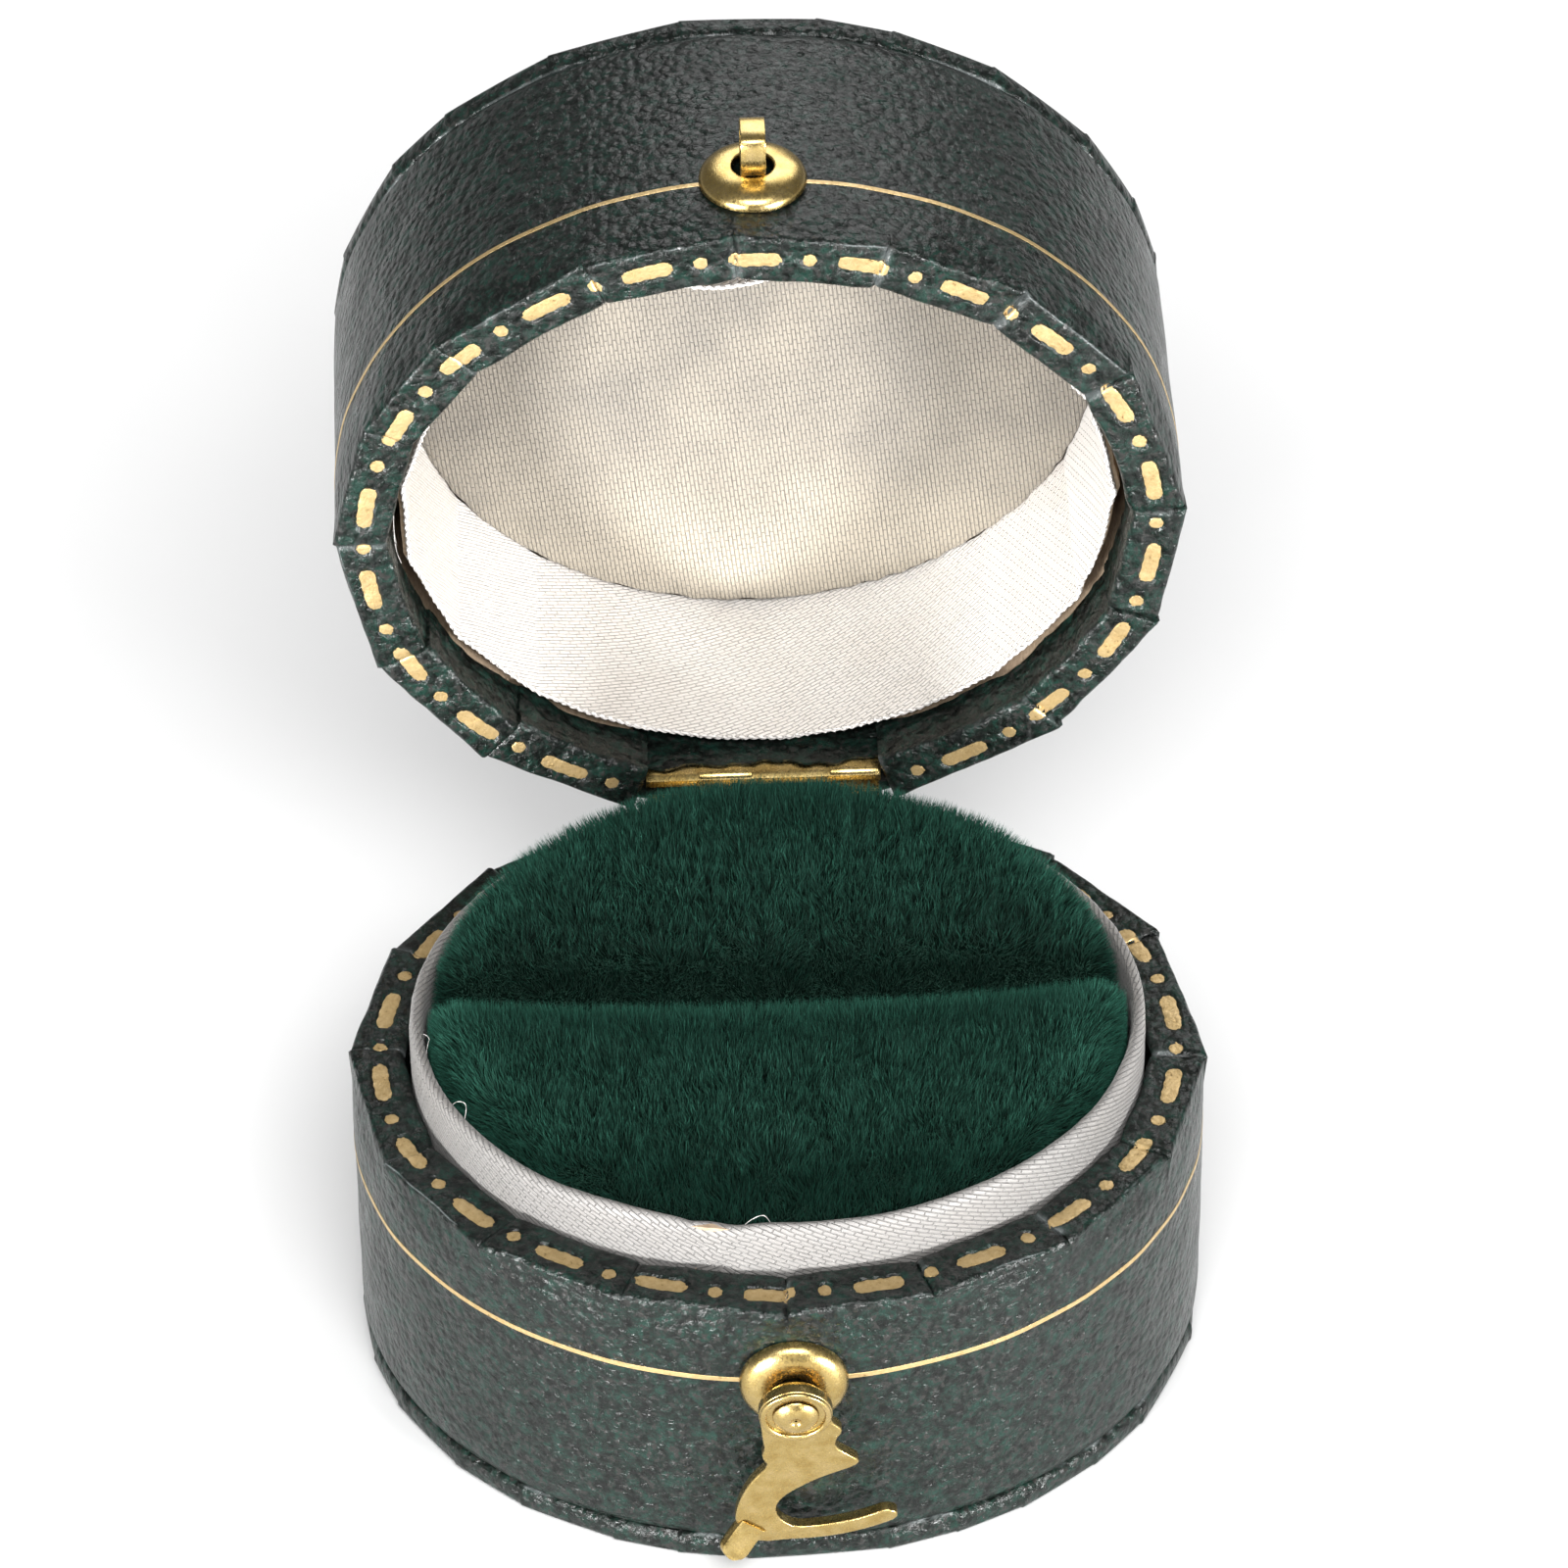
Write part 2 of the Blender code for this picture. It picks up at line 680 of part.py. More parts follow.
def latch_hook():
    """The hook: a cut plate with a boss behind its eye and a thumb tab bent outwards."""
    node = finish(plate(hook_outline(), HOOK_SHEET, HOOK_BACK), "latch_hook", BRASS, HOOK_PIVOT)
    boss_foot = ROSETTE_HEIGHT + GAP
    boss = rod((0, 0, boss_foot), HOOK_FRONT - boss_foot - GAP, HOOK_BOSS_RADIUS, (0, 0))
    combine(node, cutter(boss, "hook_boss", HOOK_PIVOT), "UNION")
    half = TAB_WIDTH / 2
    tab = cutter(block((-half, -TAB_LENGTH, 0), (half, 0, TAB_SHEET)), "hook_tab", HOOK_PIVOT)
    tab.location = (*TAB_FOOT, HOOK_BACK + (HOOK_SHEET - TAB_SHEET) / 2)
    tab.rotation_euler = (math.radians(-TAB_BEND), 0, math.radians(-TAB_SPLAY))
    combine(node, tab, "UNION")
    hole = rod((0, 0, 0), 2 * HOOK_FRONT, HOOK_BORE, (0, 0))
    combine(node, cutter(hole, "hook_bore", HOOK_PIVOT))


def catch():
    """The lid's rosette, and the strip staple whose eye the hook's finger enters."""
    finish(rosette(), "catch_rosette", BRASS, CATCH_FRAME)
    upper_leg = in_mm((2.6, -3.4), (0.85, -3.4), (0.85, 1.4), (0.78, 2.0), (0.78, 4.1))
    eye = in_mm((0.35, 4.52), (-1.45, 4.52), (-1.9, 4.1), (-1.9, 2.3))
    lower_leg = in_mm((-0.85, 1.3), (-0.85, -3.4), (-1.9, -3.4))
    path = upper_leg + eye + lower_leg
    half = STRIP_WIDTH / 2
    points = [(x, up, out) for x in (-half, half) for up, out in path]
    count = len(path)
    faces = [(i, i + 1, i + 1 + count, i + count) for i in range(count - 1)]
    staple = finish(mesh_from(points, (), faces), "catch_staple", BRASS, CATCH_FRAME)
    sheet = staple.modifiers.new("sheet", "SOLIDIFY")
    sheet.thickness = STRIP_SHEET
    sheet.offset = 0
    sheet.use_even_offset = True


clear_scene()
PARTS = new_collection("ring_box")
CUTTERS = new_collection("cutters")
LID_PIVOT = new_pivot("lid_pivot", (0, HINGE_Y, HINGE_Z), -OPEN_ANGLE)
LATCH_FRAME = new_pivot("latch_frame", (0, -HALF_DEPTH, LATCH_Z), 90)
HOOK_PIVOT = new_pivot("hook_pivot", (0, -HALF_DEPTH, LATCH_Z), 90 + RIVET_TILT)
CATCH_FRAME = new_pivot("catch_frame", (0, -HALF_DEPTH, CATCH_Z), 90)
CATCH_FRAME.parent = LID_PIVOT
CATCH_FRAME.location -= LID_PIVOT.location

NOTCH = hinge_notch("rim_notch")
RECESS = leaf_recess("leaf_recess")
DRILL_START = (0, 0, -2 * RIM_WIDTH)
RIVET_DRILL = rod(DRILL_START, 3 * RIM_WIDTH, RIVET_HOLE_RADIUS, (0, 0))
STAPLE_DRILL = rod(DRILL_START, 3 * RIM_WIDTH, STAPLE_HOLE_RADIUS, (0, 0))
RIVET_HOLE = cutter(RIVET_DRILL, "rivet_hole", HOOK_PIVOT)
STAPLE_HOLE = cutter(STAPLE_DRILL, "staple_hole", CATCH_FRAME)
BASE_CUTS = [NOTCH, RECESS, RIVET_HOLE]
LID_CUTS = [into_lid(hinge_notch("lid_notch")), into_lid(leaf_recess("lid_recess")), STAPLE_HOLE]

base_shell()
neck()
ring_pad()
lid_shell()
lid_lining()
hinge()
latch_fixed()
latch_hook()
catch()
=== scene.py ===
import json
import math

import bmesh
import bpy
import numpy as np
from mathutils import Matrix, Vector


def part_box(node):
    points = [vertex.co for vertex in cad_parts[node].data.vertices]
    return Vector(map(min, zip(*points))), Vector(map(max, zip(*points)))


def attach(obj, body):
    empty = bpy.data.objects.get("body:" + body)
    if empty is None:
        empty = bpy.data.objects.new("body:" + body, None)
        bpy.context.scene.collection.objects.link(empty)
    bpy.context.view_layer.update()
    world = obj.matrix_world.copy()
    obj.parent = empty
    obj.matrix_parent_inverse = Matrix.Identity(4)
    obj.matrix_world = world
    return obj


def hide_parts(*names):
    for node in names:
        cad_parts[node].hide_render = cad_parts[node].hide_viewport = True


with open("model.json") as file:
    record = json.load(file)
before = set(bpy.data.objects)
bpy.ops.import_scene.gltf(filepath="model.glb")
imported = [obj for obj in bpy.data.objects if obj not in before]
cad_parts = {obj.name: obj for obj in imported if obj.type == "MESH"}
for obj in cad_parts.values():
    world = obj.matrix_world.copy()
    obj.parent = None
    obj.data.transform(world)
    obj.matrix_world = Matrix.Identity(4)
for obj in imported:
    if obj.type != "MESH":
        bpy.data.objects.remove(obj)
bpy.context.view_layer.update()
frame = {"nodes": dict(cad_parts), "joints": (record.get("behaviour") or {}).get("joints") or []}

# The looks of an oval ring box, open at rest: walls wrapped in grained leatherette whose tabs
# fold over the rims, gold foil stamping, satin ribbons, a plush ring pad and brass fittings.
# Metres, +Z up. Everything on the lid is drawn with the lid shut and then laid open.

MM = 0.001
TURN = 2 * math.pi
NODES = frame["nodes"]
JOINTS = {joint["name"]: joint for joint in frame["joints"]}

# Places read from the frame
BASE_LOW, BASE_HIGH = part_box("base_wall_cover")
LID_LOW, LID_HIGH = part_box("lid_wall_cover")
HALF_WIDTH = BASE_HIGH.x
HALF_DEPTH = -BASE_LOW.y
BASE_RIM = BASE_HIGH.z
BASE_FOOT = BASE_LOW.z
HINGE = Vector(JOINTS["lid_hinge"]["pos_m"])
LATCH = Vector(JOINTS["hook_swing"]["pos_m"])
RIVET_AXIS = Vector(JOINTS["hook_swing"]["axis"])
LID_RIM = HINGE.z + LID_LOW.y - HINGE.y
LID_HEAD = HINGE.z + LID_HIGH.y - HINGE.y
LID_TOP = HINGE.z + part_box("lid_top_cover")[1].y - HINGE.y
NECK_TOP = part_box("neck_ribbon")[1].z
PAD_HALF_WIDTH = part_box("pad_velvet_rear")[1].x
PAD_HALF_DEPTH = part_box("pad_velvet_rear")[1].y
PAD_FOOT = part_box("pad_velvet_rear")[0].z
CATCH_Z = LID_RIM + (BASE_RIM - LATCH.z)
SATIN_FACE = HINGE.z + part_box("lid_lining_satin")[0].y - HINGE.y

# The leatherette
OVAL_MEAN = (HALF_WIDTH + HALF_DEPTH) / 2
LEATHER = 0.4 * MM
FOLD = 0.35 * MM
INNER_FOLD = 0.45 * MM
TURN_IN = 4.0 * MM
SEAM_PROUD = 0.20 * MM  # how far a tab's folded corner stands out of the oval
SEAM_INSET = 3.3 * MM  # where two tabs meet inside the rim
TAB_TUCK = 0.14 * MM  # how far the end of a tab is drawn in under the next
NOTCH_CORNER = 3.5 * MM  # the inner fold's inset beside the hinge
NOTCH_HALF = 8.7 * MM
NOTCH_DROP = 1.32 * MM
NOTCH_BACK = 21.22 * MM  # the flat recess that holds the hinge's leaf
TAB_FACE = 20.66 * MM  # the front of the tab glued over the lid's leaf
LINE_DROP = 6.1 * MM
LINE_WIDTH = 0.42 * MM
FACET_FADE = 3.2 * MM  # how far down a wall the flats of its tabs show
EDGE_CURL = 0.35 * MM  # how far a wall's foot curls in
CREASE_WIDTH = 0.13 * MM  # of the groove where two tabs meet
BASE_SEAMS = [23.8, 46.6, 131.3, 153.7, 177.3, 203, 225, 247, 269.3, 289, 310, 332.5, 355]
LID_SEAMS = [19.8, 44.2, 131.8, 155.2, 180.5, 203.4, 222, 246.7, 267.1, 287.8, 308.6, 330, 357.4]

# The foil stamping along the middle of each rim
DASHES = 22
DASH_LENGTH = 3.4 * MM
DASH_WIDTH = 1.05 * MM
DOT_RADIUS = 0.48 * MM
STAMP_INSET = 1.85 * MM
STAMP_DEPTH = 0.15 * MM
FOIL_LIFT = 0.03 * MM

# The wrapped top and bottom panels
PANEL_FOLD = 0.55 * MM
PANEL_TUCK = 0.75 * MM
PANEL_UNDER = LEATHER + 0.15 * MM

# The neck and the lid's hoop
NECK_OUT = 3.85 * MM
HOOP_INSET = 4.3 * MM
HOOP_EDGE = 3.6 * MM  # from the lid's rim
DISC_INSET = 4.15 * MM
HOOP_FLATS = 0.35 * MM  # how far its flats stand in from its round, at most
BRAID_RADIUS = 0.13 * MM
BRAID_PITCH = 0.6 * MM
THREAD_RADIUS = 0.022 * MM

# The brass fittings
HOOK_SHEET = 0.8 * MM
HOOK_OUT = 2.5 * MM  # the middle of its sheet, along the rivet
HOOK_EYE = 0.88 * MM
RIVET_FRONT = 3.0 * MM

# The cloth simulation that swells the padded pieces
VOXEL = 0.6 * MM
CLOTH_SCALE = 10
CLOTH_PRESSURE = 4.0
CLOTH_STEPS = 20
DISC_SWELL = 0.35 * MM
PAD_SWELL = 0.3 * MM

# The ring pad
FRONT_CREST = 4.8 * MM
FRONT_EDGE = 1.0 * MM
REAR_SLIT_EDGE = 2.6 * MM
REAR_CROWN = 6.9 * MM
FRONT_SIDE_FALL = 0.6 * MM
REAR_SIDE_FALL = 1.2 * MM
SLIT_END_RISE = 2.4 * MM  # the slit is shallower at its ends
SLIT_BOW = 1.9 * MM
SLIT_BACK = 2.0 * MM  # the front half swells back over the CAD's slit by this much
PILE_LENGTH = 1.3 * MM
PILE_INSET = 4.95 * MM  # the hairs stay clear of the lid's hoop

# The camera, fitted to the box's rims in the photograph
CAMERA_ANGLES = (41.1565, -1.8205, -0.678)  # elevation, azimuth and roll in degrees
CAMERA_DISTANCE = 549.422 * MM
CAMERA_TARGET = (0.6012, 0, 44.7528)  # in millimetres
CAMERA_LENS = 201.093

RANDOM = np.random.default_rng(7)


# Small helpers


def smooth(low, high, value):
    """0 below low, 1 above high, and a smooth step between."""
    t = np.clip((value - low) / (high - low), 0, 1)
    return t * t * (3 - 2 * t)


def waves(points, size, seed, count=10):
    """A smooth, seeded ripple between about -1 and 1 over points, with crests about size apart."""
    random = np.random.default_rng(seed)
    total = np.zeros(points.shape[:-1])
    for _ in range(count):
        direction = random.normal(size=points.shape[-1])
        direction *= random.uniform(0.6, 1.5) / np.linalg.norm(direction)
        total += np.sin(points @ direction * (TURN / size) + random.uniform(0, 6.3))
    return total / math.sqrt(count)


def laid_open(points):
    """Points of the shut lid, turned a right angle back about the hinge."""
    points = np.asarray(points, float)
    rise = points[..., 2] - HINGE.z
    back = points[..., 1] - HINGE.y
    return np.stack([points[..., 0], HINGE.y + rise, HINGE.z - back], -1)


def full_turn(count):
    """Angles evenly round a circle."""
    return np.linspace(0, TURN, count + 1)[:-1]


def on_circle(angle, height=None):
    """Points on a circle about as large as the oval, at which the ripples are read."""
    place = [np.cos(angle) * OVAL_MEAN, np.sin(angle) * OVAL_MEAN]
    if height is not None:
        place.append(0 * angle + height)
    return np.stack(place, -1)


def unit(vectors):
    """Vectors along the last axis, made one long."""
    return vectors / np.linalg.norm(vectors, axis=-1, keepdims=True)


def length_along(points):
    """The length along a path to each of its points."""
    steps = np.linalg.norm(np.diff(points, axis=0), axis=1)
    return np.concatenate([[0], np.cumsum(steps)])


def oval(angle, inset, height):
    """Points on the box's oval, inset from its outside. angle is in radians from +X."""
    x = (HALF_WIDTH - inset) * np.cos(angle)
    y = (HALF_DEPTH - inset) * np.sin(angle)
    return np.stack([x, y, height + 0 * x], -1)


def grid_faces(rows, columns, wrap_rows, wrap_columns):
    """Quads over a grid, and each corner's unwrapped (row, column)."""
    i, j = np.meshgrid(
        np.arange(rows if wrap_rows else rows - 1),
        np.arange(columns if wrap_columns else columns - 1),
        indexing="ij",
    )
    corners = np.stack([[i, j], [i, j + 1], [i + 1, j + 1], [i + 1, j]], 0)
    corners = corners.reshape(4, 2, -1).transpose(2, 0, 1)
    faces = (corners[..., 0] % rows) * columns + corners[..., 1] % columns
    return faces, corners


def mesh_from(name, points, faces):
    mesh = bpy.data.meshes.new(name)
    mesh.from_pydata(np.asarray(points).reshape(-1, 3).tolist(), [], np.asarray(faces).tolist())
    return mesh


def face_outwards(mesh):
    """Turns a closed mesh the right way out, after welding its coincident points."""
    draft = bmesh.new()
    draft.from_mesh(mesh)
    bmesh.ops.remove_doubles(draft, verts=draft.verts, dist=0.0005 * MM)
    if draft.calc_volume(signed=True) < 0:
        bmesh.ops.reverse_faces(draft, faces=draft.faces)
    draft.to_mesh(mesh)
    draft.free()
    return mesh


def loft(name, points, wrap_rows=False, wrap_columns=False, u=None, v=None):
    """A mesh over a grid of points, with a "weave" UV map in millimetres from u and v."""
    rows, columns = points.shape[:2]
    faces, corners = grid_faces(rows, columns, wrap_rows, wrap_columns)
    mesh = mesh_from(name, points, faces)
    if u is not None:
        layer = mesh.uv_layers.new(name="weave")
        flat = np.stack([u[corners[..., 1]], v[corners[..., 0]]], -1) / MM
        layer.data.foreach_set("uv", flat.astype(np.float32).ravel())
    return mesh


def read(items, what, width=3, kind=np.float32):
    """An array of a property that all of a mesh's vertices, loops or triangles have."""
    values = np.zeros(len(items) * width, kind)
    items.foreach_get(what, values)
    return values.reshape(-1, width)


def paint(mesh, name, values):
    """Stores a value at each point of a mesh for its material to read."""
    layer = mesh.attributes.new(name, "FLOAT", "POINT")
    layer.data.foreach_set("value", np.asarray(values, np.float32).ravel())


def linked(made):
    """Puts a new object in the scene."""
    bpy.context.scene.collection.objects.link(made)
    return made


def show(mesh, name, body, material, replaces=(), sharp=35):
    """The named piece for a mesh, riding on its body."""
    mesh.name = name
    mesh.shade_smooth()
    mesh.set_sharp_from_angle(angle=math.radians(sharp))
    mesh.materials.clear()
    mesh.materials.append(material)
    shown = linked(bpy.data.objects.new(name, mesh))
    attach(shown, body)
    if replaces:
        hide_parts(*replaces)
    return shown


def evaluated(holder):
    """The evaluated mesh of a helper object, which is then removed."""
    linked(holder)
    graph = bpy.context.evaluated_depsgraph_get()
    mesh = bpy.data.meshes.new_from_object(holder.evaluated_get(graph))
    mesh.transform(holder.matrix_world)
    bpy.data.objects.remove(holder)
    return mesh


def joined(meshes):
    """One mesh made of several."""
    draft = bmesh.new()
    for mesh in meshes:
        draft.from_mesh(mesh)
    whole = bpy.data.meshes.new("joined")
    draft.to_mesh(whole)
    draft.free()
    return whole


def transformed(mesh, function):
    """Moves each point of a mesh by a function over an array of points."""
    moved = function(read(mesh.vertices, "co").astype(float))
    mesh.vertices.foreach_set("co", moved.astype(np.float32).ravel())
    mesh.update()
    return mesh


# Materials


class Look:
    """A material being built: a Principled BSDF and the nodes that feed it."""

    def __init__(self, name, **constants):
        self.material = bpy.data.materials.new(name)
        self.material.use_nodes = True
        self.tree = self.material.node_tree
        self.shader = self.tree.nodes["Principled BSDF"]
        for socket, value in constants.items():
            self.shader.inputs[socket.replace("_", " ")].default_value = value

    def node(self, kind, attributes=None, **inputs):
        made = self.tree.nodes.new("ShaderNode" + kind)
        for key, value in (attributes or {}).items():
            setattr(made, key, value)
        for key, value in inputs.items():
            socket = made.inputs[key.replace("_", " ")]
            if isinstance(value, bpy.types.NodeSocket):
                self.tree.links.new(value, socket)
            else:
                socket.default_value = value
        return made

    def millimetres(self):
        """Object coordinates in millimetres."""
        place = self.node("TexCoord").outputs["Object"]
        return self.node("Mapping", Vector=place, Scale=(1000, 1000, 1000)).outputs["Vector"]

    def weave_map(self):
        return self.node("UVMap", {"uv_map": "weave"}).outputs["UV"]

    def attribute(self, name):
        return self.node("Attribute", {"attribute_name": name}).outputs["Fac"]

    def noise(self, vector, scale, detail=3.0, roughness=0.55, distortion=0.0):
        return self.node(
            "TexNoise",
            Vector=vector,
            Scale=scale,
            Detail=detail,
            Roughness=roughness,
            Distortion=distortion,
        ).outputs["Fac"]

    def stretched(self, vector, scale):
        return self.node("Mapping", Vector=vector, Scale=scale).outputs["Vector"]

    def remap(self, value, low, high, to_low=0.0, to_high=1.0):
        return self.node(
            "MapRange",
            Value=value,
            **{"From_Min": low, "From_Max": high, "To_Min": to_low, "To_Max": to_high},
        ).outputs["Result"]

    def math(self, operation, first, second):
        made = self.node("Math", {"operation": operation})
        for socket, value in zip(made.inputs, (first, second)):
            if isinstance(value, bpy.types.NodeSocket):
                self.tree.links.new(value, socket)
            else:
                socket.default_value = value
        return made.outputs["Value"]

    def ramp(self, value, *stops):
        """A colour ramp with (place, colour) stops."""
        made = self.node("ValToRGB", Fac=value)
        elements = made.color_ramp.elements
        while len(elements) < len(stops):
            elements.new(1.0)
        for element, (place, colour) in zip(elements, stops):
            element.position = place
            element.color = (*colour, 1.0)
        return made.outputs["Color"]

    def mix(self, factor, first, second, blend="MIX"):
        made = self.node("Mix", {"data_type": "RGBA", "blend_type": blend})
        for index, value in ((0, factor), (6, first), (7, second)):
            if isinstance(value, bpy.types.NodeSocket):
                self.tree.links.new(value, made.inputs[index])
            elif index == 0:
                made.inputs[index].default_value = value
            else:
                made.inputs[index].default_value = (*value, 1.0)
        return made.outputs[2]

    def bump(self, height, depth, below=None):
        """A bump depth metres deep, on top of an earlier one."""
        made = self.node("Bump", Height=height, Strength=1.0, Distance=depth)
        if below:
            self.tree.links.new(below, made.inputs["Normal"])
        return made.outputs["Normal"]

    def feed(self, **sockets):
        for socket, value in sockets.items():
            self.tree.links.new(value, self.shader.inputs[socket.replace("_", " ")])
        return self.material


def leatherette(name):
    """Glossy near-black sheet, mottled with green and grey-brown flecks, pebbled and creased, with
    a painted highlight along its folds and seams.
    """
    look = Look(name, Specular_IOR_Level=0.25)
    place = look.millimetres()
    mottle = look.noise(place, 1.1, 5.0, 0.72, 0.4)
    ground = look.ramp(
        mottle,
        (0.40, (0.0028, 0.0036, 0.0032)),
        (0.50, (0.0052, 0.0090, 0.0072)),
        (0.62, (0.0060, 0.0210, 0.0155)),
    )
    flecks = look.remap(look.noise(place, 2.2, 2.0, 0.5), 0.56, 0.64)
    colour = look.mix(flecks, ground, (0.0160, 0.0160, 0.0148))
    # Painted highlight: on the fold and seam marks, where the patches fall, the colour turns light
    # grey to stand in for the glint of light along the folds; the lower roughness there is real
    # gloss.
    scuff_and_glint = look.attribute("scuff_and_glint")
    patches = look.remap(look.noise(place, 0.22, 3.0, 0.6), 0.50, 0.58)
    fold_glint = look.math("MULTIPLY", scuff_and_glint, patches)
    colour = look.mix(fold_glint, colour, (0.09, 0.10, 0.10))
    pebble = look.node(
        "TexVoronoi", {"feature": "SMOOTH_F1"}, Vector=place, Scale=1.5, Smoothness=0.35
    ).outputs["Distance"]
    pits = look.node(
        "TexVoronoi", Vector=look.stretched(place, (1.0, 1.0, 2.2)), Scale=0.75
    ).outputs["Distance"]
    grain = look.noise(place, 2.3, 3.0, 0.62, 0.6)
    fine = look.noise(place, 6.0, 2.0, 0.5)
    bump = look.bump(pebble, -0.15 * MM)
    bump = look.bump(look.remap(pits, 0.05, 0.22), 0.06 * MM, bump)
    bump = look.bump(grain, 0.11 * MM, bump)
    bump = look.bump(fine, 0.008 * MM, bump)
    matt = look.remap(look.noise(place, 0.35, 3.0, 0.6), 0.35, 0.65, 0.25, 0.35)
    roughness = look.math("SUBTRACT", matt, look.math("MULTIPLY", fold_glint, 0.08))
    return look.feed(Base_Color=colour, Roughness=roughness, Normal=bump)


def foil(name):
    """Gold foil pressed into the leatherette's grain."""
    look = Look(name, Metallic=0.65)
    place = look.millimetres()
    # In the foil, scuff_and_glint is only the foil's own wear; no light is painted here.
    scuff_and_glint = look.noise(place, 2.5, 4.0, 0.7)
    colour = look.ramp(
        scuff_and_glint,
        (0.28, (0.12, 0.08, 0.03)),
        (0.38, (0.40, 0.28, 0.12)),
        (0.70, (0.50, 0.37, 0.19)),
    )
    bump = look.bump(look.noise(place, 4.0, 3.0), 0.05 * MM)
    roughness = look.remap(scuff_and_glint, 0.3, 0.7, 0.48, 0.34)
    return look.feed(Base_Color=colour, Roughness=roughness, Normal=bump)


def brass(name):
    """Warm gold-toned brass, tumbled to a satin, with fine scratches and darker patches at random.
    """
    look = Look(name, Metallic=1.0)
    place = look.millimetres()
    # In the brass, tint_and_painted_light is only a random tint; no light is painted here.
    tint_and_painted_light = look.noise(place, 0.8, 4.0, 0.6)
    colour = look.ramp(
        tint_and_painted_light,
        (0.34, (0.38, 0.265, 0.09)),
        (0.50, (0.44, 0.325, 0.125)),
        (0.66, (0.50, 0.375, 0.165)),
    )
    scratches = look.noise(look.stretched(place, (9.0, 1.2, 1.2)), 1.6, 3.0, 0.6)
    pits = look.noise(place, 5.0, 3.0, 0.65)
    bump = look.bump(scratches, 0.009 * MM)
    bump = look.bump(pits, 0.002 * MM, bump)
    roughness = look.remap(pits, 0.3, 0.7, 0.22, 0.34)
    return look.feed(Base_Color=colour, Roughness=roughness, Normal=bump)


def satin(name, white, warm_painted_light_colour, thread, slant, dull=0.0):
    """Satin cloth: rows of long floats, thread millimetres apart, on the weave map."""
    look = Look(name, Sheen_Weight=0.15, Sheen_Roughness=0.4, Specular_IOR_Level=0.5 - dull)
    flat = look.weave_map()
    turned = look.node(
        "Mapping", Vector=flat, Rotation=(0, 0, math.radians(slant))
    ).outputs["Vector"]
    floats = look.node(
        "TexBrick",
        {"offset": 0.4},
        Vector=turned,
        Color1=(1, 1, 1, 1),
        Color2=(0.72, 0.72, 0.72, 1),
        Mortar=(0.1, 0.1, 0.1, 1),
        Scale=1.0,
        Mortar_Size=thread * 0.20,
        Mortar_Smooth=1.0,
        Brick_Width=thread * 3.0,
        Row_Height=thread,
    ).outputs["Color"]
    # The tint_and_painted_light attribute is painted light and shade: the hoop's flats shaded one
    # by one and the disc lit towards its lower part. With a soft random warmth it mixes the cloth
    # towards its second colour.
    tint_and_painted_light = look.attribute("tint_and_painted_light")
    soft = look.noise(flat, 0.16, 3.0, 0.5)
    fibres = look.noise(look.stretched(turned, (1.0, 7.0, 1.0)), 2.2, 2.0, 0.5)
    warmth_and_painted_light = look.math("ADD", look.remap(soft, 0.35, 0.75, 0.0, 0.3), tint_and_painted_light)
    ground = look.mix(warmth_and_painted_light, white, warm_painted_light_colour)
    shaded = look.remap(floats, 0.1, 0.8, 0.80, 1.0)
    colour = look.mix(1.0, ground, shaded, "MULTIPLY")
    bump = look.bump(floats, 0.12 * MM)
    bump = look.bump(fibres, 0.02 * MM, bump)
    roughness = look.remap(fibres, 0.3, 0.7, 0.30 + dull, 0.46 + dull)
    return look.feed(Base_Color=colour, Roughness=roughness, Normal=bump)


def plush(name):
    """Deep green pile with painted shade at its roots; each tuft's tip a little different, partly
    at random and partly by painted light and shade.
    """
    look = Look(
        name, Roughness=0.7, Specular_IOR_Level=0.1, Sheen_Weight=0.12, Sheen_Roughness=0.35
    )
    look.shader.inputs["Sheen Tint"].default_value = (0.35, 0.9, 0.65, 1)
    rise = look.attribute("rise")
    shade = look.attribute("shade")
    patches = look.noise(look.millimetres(), 0.35, 3.0, 0.55)
    # Painted shade: the root colours are far darker than the tips, standing in for the shade deep
    # in the pile.
    root = look.mix(patches, (0.0002, 0.0018, 0.0011), (0.0004, 0.0030, 0.0018))
    tip = look.mix(shade, (0.0006, 0.0060, 0.0038), (0.0360, 0.1550, 0.1070))
    return look.feed(Base_Color=look.mix(rise, root, tip))


def backing(name):
    """The cloth that the pile stands on, coloured as dark as the pile's roots as painted shade
    under the pile.
    """
    look = Look(name, Roughness=0.9, Specular_IOR_Level=0.05)
    knit = look.noise(look.millimetres(), 2.5, 3.0)
    colour = look.ramp(knit, (0.35, (0.0003, 0.0030, 0.0018)), (0.65, (0.0006, 0.0060, 0.0036)))
    return look.feed(Base_Color=colour, Normal=look.bump(knit, 0.1 * MM))


def board(name):
    """Grey-brown pressed board with short fibres."""
    look = Look(name, Roughness=0.85)
    place = look.millimetres()
    fibres = look.noise(look.stretched(place, (1.0, 1.0, 4.0)), 1.8, 4.0, 0.65)
    colour = look.ramp(fibres, (0.3, (0.24, 0.17, 0.11)), (0.7, (0.42, 0.32, 0.22)))
    return look.feed(Base_Color=colour, Normal=look.bump(fibres, 0.06 * MM))


def foam(name):
    """Cream open-celled foam or wadding."""
    look = Look(name, Roughness=0.95)
    cells = look.node(
        "TexVoronoi", Vector=look.millimetres(), Scale=1.6
    ).outputs["Distance"]
    colour = look.ramp(cells, (0.1, (0.52, 0.47, 0.34)), (0.6, (0.80, 0.75, 0.60)))
    return look.feed(Base_Color=colour, Normal=look.bump(cells, 0.25 * MM))


LEATHER_LOOK = leatherette("leatherette")
FOIL_LOOK = foil("gold_foil")
BRASS_LOOK = brass("brass")
